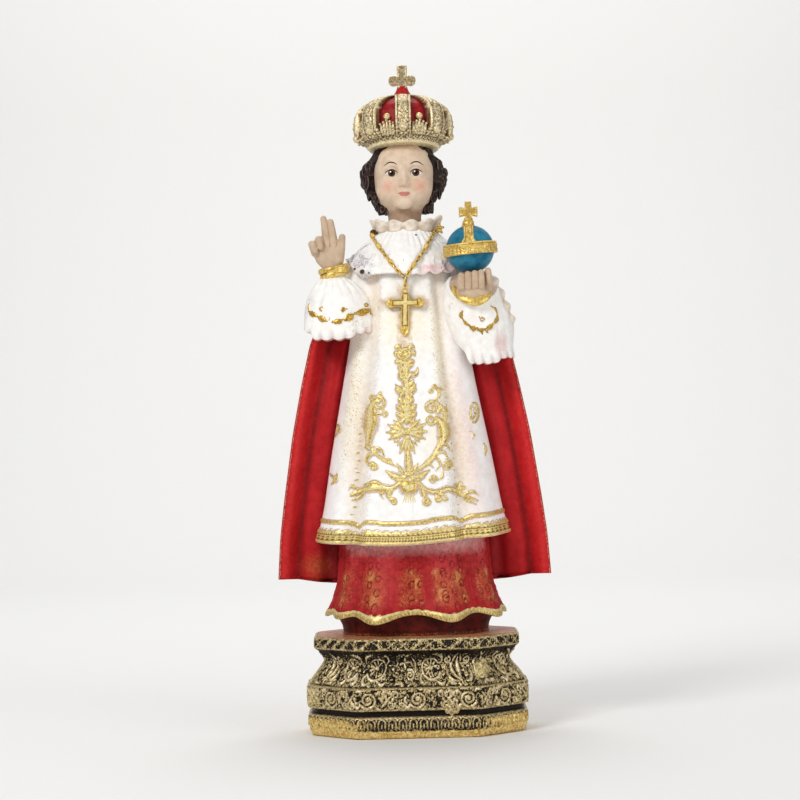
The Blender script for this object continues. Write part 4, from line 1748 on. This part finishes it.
# Head
# A calm child's face on common proportions, leaned back a little. Matt flesh paint with warm
# cheeks, and finer painting for the lips, the brows and the glossy dark eyes.
HEAD_X = -0.6
HEAD_Y = -2.4
EYE_LINE = 206.2
EYE_ASIDE = 5.4
HEAD_PARTS = [
    egg((0, 0.8, 209.6), (14.3, 15, 15.2)),
    egg((0, -1.2, 200.6), (12.7, 12.3, 11.4)),
    egg((6.4, -7.8, 199.6), (5.6, 4.8, 5.2)),
    egg((-6.4, -7.8, 199.6), (5.6, 4.8, 5.2)),
    egg((0, -10.2, 192.6), (3.8, 2.8, 2.6)),
    limb((0, 1.6, 176, 8.6), (0, 1.4, 186, 7.4), (0, 1.2, 192, 7.4)),
    limb((0, -12.6, 206.6, 0.9), (0, -14.3, 202.6, 1.15)),
]
NOSE_AND_LIPS = [
    limb((0, -14.2, 202.9, 1.1), (0, -14.9, 201.3, 1.35)),
    egg((1.6, -13.6, 200.9), (1, 1.2, 0.9)),
    egg((-1.6, -13.6, 200.9), (1, 1.2, 0.9)),
    limb(
        (-3.1, -11.9, 197.1, 0.35), (-1, -13, 197.5, 0.75), (1, -13, 197.5, 0.75), (3.1, -11.9, 197.1, 0.35),
    ),
    limb((-2.4, -12, 196.3, 0.4), (0, -12.9, 195.9, 0.85), (2.4, -12, 196.3, 0.4)),
]


def head_distance(p):
    whole, _ = melted(HEAD_PARTS, p, 3.2)
    for part in NOSE_AND_LIPS:
        whole, _ = joined(whole, part(p), 0.9)
    x, y, z = np.abs(p[..., 0]) - EYE_ASIDE, p[..., 1], p[..., 2] - EYE_LINE
    socket = np.sqrt((x / 1.25) ** 2 + (y + 15.4) ** 2 + (z - 0.3) ** 2) - 3
    whole = -joined(-whole, socket, 2)[0]
    lids = np.sqrt((x / 1.05) ** 2 + (y + 9.3) ** 2 + z**2) - 3.85
    opening = np.maximum(np.abs(z - 0.12 * x) - 1.45 * held(1 - (x / 2.75) ** 2), y + 10)
    whole, _ = joined(whole, np.maximum(lids, -opening), 0.7)
    return np.maximum(whole, -np.maximum(opening, np.sqrt(x**2 + (y + 9.3) ** 2 + z**2) - 4.2))


def leaned(points):
    """Leans the head back on the neck and sets it on the shoulders."""
    return (points - (0, 0, 190)) @ rotation(-6, 0).T + (HEAD_X, HEAD_Y, 188.7)


def on_face(x, z):
    """Points on the face at the places x, z."""
    y = np.linspace(-18, -4, 281)
    p = np.stack(np.broadcast_arrays(x[:, None], y, z[:, None]), -1)
    first = np.argmax(head_distance(p) < 0, axis=1)
    return leaned(np.stack([x, y[first], z], -1))


def face_stroke(points, width, lift=0.0):
    """A fine painted line on the face through [x, z], thin at its ends."""
    line = line_through(points, 0.25)
    share = np.linspace(0, 1, len(line))
    path = on_face(line[:, 0], line[:, 1])
    path[2:-2, 1] = np.mean([np.roll(path[:, 1], s)[2:-2] for s in (-2, -1, 0, 1, 2)], 0)
    path[:, 1] -= lift
    return swept(path, width / 2 * (0.25 + 0.75 * np.sin(math.pi * share) ** 0.6), 8, flat=0.5)


def head():
    skin = modelled(head_distance, (-16, -17.5, 177), (16, 16.5, 223), 0.42)
    p = skin["points"]
    # The skull is drawn in where hair and crown cover it
    p[:, :2] *= 1 - 0.22 * (smooth(p[:, 1], -3, 5) * smooth(p[:, 2], 203, 209))[:, None]
    x, y, z = np.abs(p[:, 0]), p[:, 1], p[:, 2]
    front = y < -6
    meet = 196.7 + 0.035 * x**2
    upper = meet + 1.05 * held(1 - (x / 3) ** 2) ** 0.8 - 0.22 * bell(x, 0.45)
    lower = meet - 1.2 * held(1 - (x / 2.6) ** 2) ** 0.7
    line = bell(z - meet, 0.2) * (x < 3.1)
    lids = bell(np.hypot(x - EYE_ASIDE, z - EYE_LINE - 0.2) - 2.9, 0.8) * (z > EYE_LINE)
    under_chin = smooth(192.5 - z, 0, 3) * (y > -11)
    masked(
        skin,
        blush=held(
            bell(np.hypot(x - 7.2, (z - 200.2) * 1.1), 3.4) + 0.35 * bell(np.hypot(x, z - 201.6), 1.6)
        ) * front,
        lips=smooth(upper - z, -0.1, 0.15) * smooth(z - lower, -0.1, 0.15) * (x < 3) * front,
        crease=held(
            (line + 0.55 * lids + 0.5 * bell(np.hypot(x - 1.9, z - 200.2), 0.5)) * front + 0.85 * under_chin
        ),
    )
    skin["points"] = leaned(p)
    cast("head", [skin], flesh("face_flesh_acrylic", "#d2b89e", "#e0cab4"))

    tip = np.radians(np.linspace(75, 1, 32))[:, None]
    turn = np.radians(np.arange(64) * 360 / 64)
    ball = [np.sin(tip) * np.cos(turn), -np.cos(tip), np.sin(tip) * np.sin(turn)]
    ball = 3.55 * np.stack(np.broadcast_arrays(*ball), -1)
    across = np.hypot(ball[..., 0], ball[..., 2] - 0.1)
    glint = np.hypot(ball[..., 0] + 0.55, ball[..., 2] - 0.75)
    eyes = []
    for side in (-1, 1):
        eye = masked(
            rings(ball),
            iris=smooth(1.62 - across, -0.05, 0.1),
            pupil=smooth(0.8 - across, -0.05, 0.1) + bell(across - 1.58, 0.1),
            glint=smooth(0.33 - glint, -0.05, 0.06),
        )
        eye["points"] = leaned(eye["points"] + (side * EYE_ASIDE, -9.3, EYE_LINE))
        eyes.append(eye)
    eye_paint = paint(
        "glossy_eye_paint",
        coat("#e9e2da", "#f3eee8", 0.16, mottle=2),
        coat("#3a2316", "#5a3a24", 0.12, mask="iris", ragged=0.1, mottle=0.4),
        coat("#0c0806", "#120c09", 0.1, mask="pupil", ragged=0.05),
        coat("#ffffff", "#ffffff", 0.1, mask="glint", ragged=0),
        depth=0.002,
    )
    cast("eyes", eyes, eye_paint)

    # Brow, upper lashes and lower lashes, each with its width and how far it stands out
    lines = [
        ([(2.9, 209.9), (4.4, 210.9), (6.4, 211.2), (8.9, 209.9)], 0.62, 0),
        ([(2.75, 206.4), (4, 207.5), (5.5, 207.9), (7, 207.5), (8.3, 206.5)], 0.5, 0.05),
        ([(3.4, 205.6), (5.2, 204.9), (7.4, 205.6)], 0.16, 0),
    ]
    strokes = []
    for side in (-1, 1):
        for line, width, lift in lines:
            strokes.append(face_stroke([(side * x, z) for x, z in line], width, lift))
    brow_paint = paint("brown_line_paint", coat("#2c1a10", "#47301f", 0.45, mottle=0.8), depth=0.004)
    cast("brows_and_lashes", strokes, brow_paint)


head()


# Hair
# Thick dark brown hair, parted in the middle and falling in carved locks and curls to below
# the ears and round the back, black in the hollows and paler where the strands stand proud.
HAIR_OUT = [
    (190, 10.8), (192, 12), (195, 13.8), (198.5, 16.2), (202.5, 18.2), (205.8, 18.9), (209, 17.6),
    (212.6, 15.9), (216, 14), (221, 12.6),
]


def hair():
    degrees = around(270, 6)
    z = np.arange(190.4, 221, 0.42)[:, None]
    turned = between(degrees, 0)
    side, turned = np.sign(turned + 1e-6), np.abs(turned)
    face_edge = eased(
        [(188, 70), (192, 66), (198, 63), (204, 62), (209.5, 58), (213, 48), (216, 37), (220, 28)], z, 1,
    )
    covered = smooth(turned, face_edge - 2.5, face_edge + 3)
    # Locks run along the hairline and swing as they fall, and each is combed into strands
    fall = 2 * math.pi * z / 11.5 + 0.9 * side + 0.03 * turned
    flow = turned - face_edge + 6.5 * np.sin(fall) * smooth(221 - z, 0, 6)
    lock = np.abs(np.sin(math.pi * flow / 18)) ** 0.7
    number = np.floor(flow / 18)
    strand = np.cos(2 * math.pi * flow / 18 * 4)
    lobe = np.sin(2 * math.pi * z / 8.4 + 2.4 * number + 1.1 * side)
    under_rim = 0.25 + 0.75 * smooth(215.5 - z, 0, 4)
    shown = eased(HAIR_OUT, z, 1.2) - 9.8 + (1.5 + 0.3 * strand + 0.8 * lobe) * lock * under_rim
    out = 9 + shown * covered
    low = z - 1.8 * lock * smooth(193.6 - z, 0, 3.5) * covered
    mass = oval(degrees, out, 0.92 * out, 0.86 * out, 0, low, HEAD_X, 1.6)
    hollow = held(1.2 * (1 - lock) + 0.6 * smooth(-strand, 0, 1) * (1 - 0.3 * lock))
    crest = held(lock * smooth(strand, 0.1, 0.9) * (0.6 + 0.4 * lobe) * (0.7 + 0.4 * (side > 0)))
    shapes = [masked(rings(mass), hollow=hollow, crest=crest)]
    # Curls that stand out at the sides: [degrees from the front, height, radius, way]
    curls = [
        (66, 209.5, 2.2, 1), (72, 202.8, 2.7, -1), (62, 196.2, 2.2, 1), (58, 191, 1.7, -1),
        (90, 206.4, 2.7, 1), (86, 198.2, 2.5, -1), (80, 191.8, 2, 1), (114, 201, 2.6, -1),
        (110, 193, 2.2, 1), (142, 196, 2.5, -1), (166, 192, 2.2, 1),
    ]
    for side in (-1, 1):
        for n, (at, height, size, way) in enumerate(curls):
            a = math.radians(side * (at + 3 * side))
            reach = float(np.interp(height, *np.array(HAIR_OUT).T)) + 0.3
            outward = np.array([math.sin(a), -0.92 * math.cos(a), 0])
            along_it = np.array([math.cos(a), math.sin(a), 0])
            turn = np.linspace(0, 2.1 * math.pi, 34)
            radius = np.linspace(size, 0.3 * size, 34)
            spiral = (
                np.outer(radius * np.cos(turn + n), way * along_it)
                + np.outer(radius * np.sin(turn + n), (0, 0, 1.2))
            )
            path = (
                np.array([HEAD_X, 1.6, height]) + outward * reach + spiral
                - np.outer(0.25 * (radius - 0.3 * size), outward)
            )
            thick = 1.2 * np.sin(math.pi * np.linspace(0.1, 0.93, 34)) ** 0.5
            groove = np.cos(4 * np.arange(20) * math.pi / 10)
            lock_of_hair = swept(path, thick, 20, grooves=4, depth=0.2, side=outward)
            shapes.append(
                masked(lock_of_hair, hollow=0.8 * smooth(-groove, 0.2, 1), crest=smooth(groove, 0.3, 1))
            )
    brown = paint(
        "dark_brown_acrylic",
        coat("#1b100d", "#35231d", 0.4, mottle=1.4),
        coat("#080403", "#120908", 0.6, mask="hollow", ragged=0.4, patch=0.6, edge=(0.3, 1), most=0.9),
        coat("#65504a", "#9c867c", 0.4, mask="crest", ragged=0.8, patch=0.7, edge=(0.3, 1), most=0.85),
        grit=0.3,
        gloss=0.2,
    )
    cast("hair", shapes, brown)


hair()


# Crown
# An antique gold crown: a studded rim with a whitish lower edge, eight arches with flat raised
# edges over a dark red cap, eight pearls on shells of leaves between them, and a cross on top.
CROWN = (-0.3, -0.4, 217.5)
CROWN_LEAN = 8
ARCHES = 8
ARCH_SPAN = 360 / ARCHES
ARCH_HALF = 3.3


def dome(radius, place, outward, rows=8, around_it=16):
    """A half-sunk bead on a surface."""
    outward = np.array(outward, float) / np.linalg.norm(outward)
    side = np.cross((0, 0, 1), outward)
    side /= np.linalg.norm(side)
    up = np.cross(outward, side)
    tip = np.linspace(-0.6, math.pi / 2 - 0.05, rows)[:, None, None]
    turn = (np.arange(around_it) * 2 * math.pi / around_it)[None, :, None]
    ring = np.cos(tip) * (np.cos(turn) * side + np.sin(turn) * up)
    return rings(np.array(place) + radius * (ring + np.sin(tip) * outward))


def crown():
    # [height, radius of the arches, radius of the cap]
    drawn = [
        (0, 13, 13), (0, 15.4, 15.4), (0.3, 15.9, 15.9), (1.1, 16, 16), (1.4, 16.4, 16.4), (3, 16.7, 16.7),
        (3.2, 18.6, 16.8), (4.5, 20.6, 16.9), (5.8, 21.3, 17), (8.2, 22.1, 17.5), (11.5, 22.2, 17.8),
        (15, 21.7, 17.4), (18, 20.2, 16), (20.4, 17.2, 13.4), (22.4, 13, 9.8), (23.6, 8.4, 6.4),
        (24.1, 4, 3.4), (24.1, 1, 1),
    ]
    degrees = around(390)
    rise, arch, cap = refined(drawn, 0.5, 0.25).T[:, :, None]
    place = between(degrees + ARCH_SPAN / 2, 0) % ARCH_SPAN - ARCH_SPAN / 2
    aside = np.radians(np.abs(place)) * arch
    # The arches at the sides are broader than the front one
    wide = ARCH_HALF * (1 + 0.4 * sine(degrees) ** 2)
    on_arch = smooth(wide + 0.4 - aside, 0, 0.5)
    over_rim = np.maximum(smooth(rise, 4.5, 4.8), on_arch * smooth(rise, 3, 3.3))
    out = cap + (arch - cap) * on_arch
    points = oval(degrees, out, out, out, 0, rise)
    reach = np.r_[0, np.cumsum(np.hypot(np.diff(rise[:, 0]), np.diff(arch[:, 0])))][:, None]
    # Each arch has a flat raised strip along both edges and a grained middle with a leafy wave
    strip = smooth(aside, wide - 0.85, wide - 0.7) * on_arch * over_rim
    middle = smooth(wide - 0.85 - aside, 0, 0.2) * over_rim
    run = np.radians(place) * arch
    grains = np.sin(run * 5.2 + 1.3 * np.sin(reach * 1.9)) * np.sin(reach * 4.8 + 1.1 * np.sin(run * 2.3))
    leaf = bell(aside - 1.3 * np.abs(np.sin(reach * math.pi / 4.6)), 0.38) * middle
    walked = np.radians(degrees)[None] * 16.8
    rim = smooth(rise, 1.3, 1.6) * smooth(4.7 - rise, 0, 0.3) * (1 - over_rim)
    fret = np.sin(walked * 3.9 + 1.4 * np.sin(rise * 2.1)) * np.sin(rise * 4.4 + 1.2 * np.sin(walked * 1.7))
    cord = (
        (bell(rise - 1.6, 0.28) + bell(rise - 4.3, 0.32)) * (0.7 + 0.3 * np.sin(walked * 4)) * (1 - over_rim)
    )
    outside = (np.arange(len(rise)) > 4)[:, None]
    height = outside * (
        0.3 * strip + 0.34 * grains * middle * (1 - leaf) + 0.45 * leaf + 0.34 * fret * rim + 0.35 * cord
    )
    points = raised(points, height)
    wall = on_arch * (1 - smooth(on_arch, 0.86, 1)) * over_rim
    grooves = (
        smooth(-grains, -0.1, 0.5) * middle * (1 - leaf) + smooth(-fret, -0.1, 0.5) * rim
        + bell(aside - wide + 0.95, 0.22) * over_rim
    )
    shape = masked(
        rings(points),
        hollow=held(grooves + 0.3 * bell(rise - 2.4, 1.6)) * outside,
        wall=held(2.2 * wall + 0.8 * bell(rise - 4.9, 0.35) * on_arch),
        cap=(1 - smooth(on_arch, 0.02, 0.12)) * over_rim,
        shadow=(
            (1 - smooth(aside, wide + 0.4, wide + 2.2)) * (1 - on_arch) * over_rim
            + (rise < 8) * over_rim * (1 - on_arch)
        ),
        white=held(bell(rise - 0.5, 0.7) * (1 - over_rim) + 0.8 * strip * smooth(rise, 6, 16)),
    )
    shapes = [shape]

    def toward(angle, out, rise):
        return np.array([math.sin(angle) * out, -math.cos(angle) * out, rise])

    for i in range(ARCHES):
        a, b = math.radians(ARCH_SPAN * i), math.radians(ARCH_SPAN * (i + 0.5))
        boss = dome(1.85, toward(a, 21, 5.7), toward(a, 1, 0), 12, 24)
        shapes.append(masked(boss, white=0.55))
        for n in range(10):
            spin = 2 * math.pi * n / 10
            at = a + 0.126 * math.cos(spin)
            bead = toward(at, 20.8 + 0.7 * math.sin(spin), 5.8 + 2.7 * math.sin(spin))
            shapes.append(dome(0.62, bead, toward(at, 1, 0), 5, 9))
        for rise_at, size in ((10.2, 0.8), (12.6, 0.7), (15, 0.6)):
            bead = toward(a, 22.2 - 0.06 * max(0, rise_at - 11) ** 1.6, rise_at)
            shapes.append(dome(size, bead, toward(a, 1, 0.2), 6, 12))
        # A shell of five leaves under each pearl, edged and studded with beads
        for way in (-1, -0.5, 0, 0.5, 1):
            tall = 9.6 - 1.5 * abs(way)
            rib = [
                toward(b + way * 0.14, 17.4, 3.6),
                toward(b + way * 0.155, 18.6, 0.5 * tall + 2.2),
                toward(b + way * 0.16, 19, tall),
            ]
            rib = line_through(rib, 0.8)
            bulk = np.interp(np.linspace(0, 1, len(rib)), [0, 0.5, 1], [1.3, 1.45, 0.7])
            ridge = 0.4 - 0.4 * np.cos(2 * np.arange(12) * math.pi / 6)
            shapes.append(masked(swept(rib, bulk, 12, grooves=2, depth=0.3), hollow=ridge))
            shapes.append(dome(0.62, toward(b + way * 0.16, 19.6, tall), toward(b, 1, 0), 6, 10))
        for row, count in ((4.6, 6), (6.6, 4)):
            for n in range(count):
                at = b + (n - (count - 1) / 2) * 0.075
                shapes.append(dome(0.55, toward(at, 18.9 + 0.1 * row, row), toward(at, 1, 0), 5, 9))
    shapes.append(placed(cross_skin(10.6, 3.9, 3.9, 1.8, 1.8, 2.45, 3.4, lobe=2.1), (0, 0, 28.3)))
    gold_and_red = paint(
        "antique_gold_and_dark_red",
        coat("#a2875a", "#f6e9c2", 0.38, 0.36, mottle=0.8),
        coat(
            "#3a2410", "#5f401e", 0.5, 0.15, mask="hollow", ragged=0.8, patch=0.45, edge=(0.3, 0.8),
            most=0.9,
        ),
        coat("#543a1b", "#866030", 0.45, 0.3, mask="wall", ragged=0.4, edge=(0.35, 0.65), most=0.9),
        coat("#84161a", "#a82626", 0.42, mottle=2, mask="cap", ragged=0.1, edge=(0.4, 0.6)),
        coat("#3a0808", "#560d0d", 0.5, mask="shadow", ragged=0.3, edge=(0.15, 1), most=0.9),
        coat("#e0c894", "#f8ebc8", 0.42, 0.1, mask="white", ragged=1.2, patch=0.6, edge=(0.4, 1), most=0.8),
        grit=0.4,
    )
    pearls = [
        dome(1.55, toward(t, 18.7, 11.5), toward(t, 1, 0), 14, 24)
        for t in np.radians(ARCH_SPAN * (np.arange(ARCHES) + 0.5))
    ]
    foot = swept(
        [(0, 0, z) for z in (22.4, 23.4, 24.2, 25.2, 26.6, 28, 29.2)], [8, 6.6, 5.4, 4.3, 3.3, 2.6, 2.3], 40,
    )
    lean = rotation(-CROWN_LEAN, 0).T
    for s in shapes + pearls + [foot]:
        s["points"] = s["points"] @ lean + CROWN
    cast("crown", shapes, gold_and_red)
    cast(
        "crown_pearls",
        pearls,
        paint("pearl_gold_paint", coat("#d0ac66", "#f8e6bc", 0.3, 0.3, mottle=0.8), depth=0.01),
    )
    cast("cross_foot", [foot], paint("red_enamel", coat("#96161a", "#c02a28", 0.35, mottle=1.5), depth=0.01))


crown()


# Chain and pendant
# A gold chain of links and beads lies on the cape, and a gold cross hangs from it on the
# chest. Both are cast with the cloth, so brown wash has settled round them.
def chain():
    gold = antique_gold("chain_gold_paint")
    lift, half, front, _ = np.array(CAPE_ROWS[3:]).T

    def on_cape(x, z):
        wide, deep = (np.interp(z - 160.4, lift, row) + 0.9 for row in (half, front))
        return (x, -deep * math.sqrt(max(0.05, 1 - (x / wide) ** 2)), z)

    join, ring = (-1, -25.3, 158.4), (-1.4, -24.9, 153.2)
    left = [on_cape(*p) for p in ((-16, 179.6), (-12.5, 173.4), (-7.5, 166.2), (-4.6, 162.4))] + [join]
    right = [
        on_cape(*p) for p in ((12.9, 180.6), (10.4, 176), (8.8, 173), (4.1, 166.3), (0.9, 161.8))
    ] + [join]
    drop = [join, (-1.2, -24.9, 156.2), (-1.4, -24.9, 154.4)]
    shapes = []
    turn = np.linspace(0, 2 * math.pi, 17)
    for path, beads in ((left, (173.8, 166.2)), (right, (173, 164.8)), (drop, ())):
        line = line_through(path, 0.1)
        bar = swept(line[::6] + (0, 0.35, 0), 0.62, 10, flat=0.8)
        shapes.append(masked(bar, hollow=0.9))
        for n, i in enumerate(range(8, len(line) - 8, 23)):
            along_it = line[i + 6] - line[i - 6]
            along_it /= np.linalg.norm(along_it)
            out = np.array([0, -1, 0.25])
            out -= out.dot(along_it) * along_it
            out /= np.linalg.norm(out)
            across = np.cross(along_it, out)
            wide = across if n % 2 else 0.45 * across + 0.8 * out
            loop = line[i] + 1.55 * np.outer(np.cos(turn), along_it) + 0.62 * np.outer(np.sin(turn), wide)
            shapes.append(swept(loop, 0.37, 8, side=out))
        for level in beads:
            place = line[np.argmin(np.abs(line[:, 2] - level))]
            shapes.append(dome(1.2, place - (0, 0.1, 0), (0, -1, 0.2), 10, 16))
    loop = [(ring[0] + 1.05 * math.cos(t), ring[1] - 0.2, ring[2] + 1.05 * math.sin(t)) for t in turn]
    shapes.append(swept(loop, 0.42, 10))
    # A gold bow of small leaves where the chain leaves the ruffle
    bow = np.array(on_cape(14, 181.6)) + (0, -0.6, 0)
    for t in range(7):
        a, size = math.radians(51 * t + 10), 2.4 if t % 2 else 3
        tip = size * np.array([math.cos(a), -0.1, math.sin(a)])
        leaf = line_through([bow, bow + 0.5 * tip + (0, -0.7, 0), bow + tip], 0.3)
        shapes.append(swept(leaf, 0.3 + 0.6 * np.sin(math.pi * np.linspace(0.1, 0.95, len(leaf))), 10))
    shapes.append(dome(0.9, bow - (0, 0.6, 0), (0, -1, 0.1), 8, 14))
    shapes.append(dome(1.3, np.array(on_cape(-15.4, 179)) - (0, 0.2, 0), (-0.4, -1, 0.2), 8, 14))
    cast("chain", shapes, gold)
    lumps = [egg((-15, -3.6, 180.7), (1.4, 1.3, 1.2)), egg((-13.7, -6, 180.2), (1.1, 1.2, 0.7))]
    knot = modelled(lambda p: melted(lumps, p, 0.8)[0], (-18, -9, 178), (-11, 0, 184), 0.22)
    cast("chain_knot", [knot], paint("dark_brown_wash", coat("#2d1a10", "#6a4a26", 0.5, 0.2, mottle=1)))

    def bar_distance(x, z):
        return np.minimum(
            np.maximum(x - 0.8, np.maximum(z - 151.8, 138.2 - z)),
            np.maximum(np.abs(z - 148.05) - 0.8, x - 5.2),
        )

    def leaning(p):
        return np.abs(p[..., 0] + 1.4 - 0.039 * (p[..., 2] - 148)), p[..., 2] + 0.3

    def cross_shape(p):
        x, z = leaning(p)
        upright = np.maximum(
            x - np.interp(z, [133.2, 135.7, 137.4, 152.3], [0.1, 2.1, 1.7, 1.65]),
            np.maximum(z - 152.3, 133.2 - z),
        )
        arms = np.maximum(
            np.abs(z - 148.05)
            - np.interp(x, [0, 4.2, 5.4, 6.6, 7.6, 8.4], [1.6, 1.55, 1.95, 2.05, 1.6, 0.4]),
            x - 8.4,
        )
        flat = np.minimum(upright, arms)
        front = -25 - 0.6 * smooth(-bar_distance(x, z), -0.15, 0.2) - 0.35 * bell(flat + 0.35, 0.3)
        for sx, sz, r in ((6.5, 148.05, 0.95), (0, 137, 0.95)):
            front = front - 0.65 * np.sqrt(held(1 - ((x - sx) ** 2 + (z - sz) ** 2) / r**2))
        return np.maximum(np.maximum(flat, front - p[..., 1]), p[..., 1] + 21.5) - 0.1

    skin = modelled(cross_shape, (-11.5, -28, 131.5), (8.5, -20.5, 154), 0.23)
    inlay = bar_distance(*leaning(skin["points"]))
    y = skin["points"][:, 1]
    hollow = held(bell(np.abs(inlay - 0.35), 0.3) + smooth(y, -24.2, -23.4))
    masked(skin, hollow=hollow, light=0.68 * smooth(-inlay, -0.05, 0.15) * (y < -24.5))
    cast("pendant", [skin], gold)


chain()

size_record = {
    "cad": [list(corner) for corner in cad_box],
    "visual": [list(corner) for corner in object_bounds()],
}
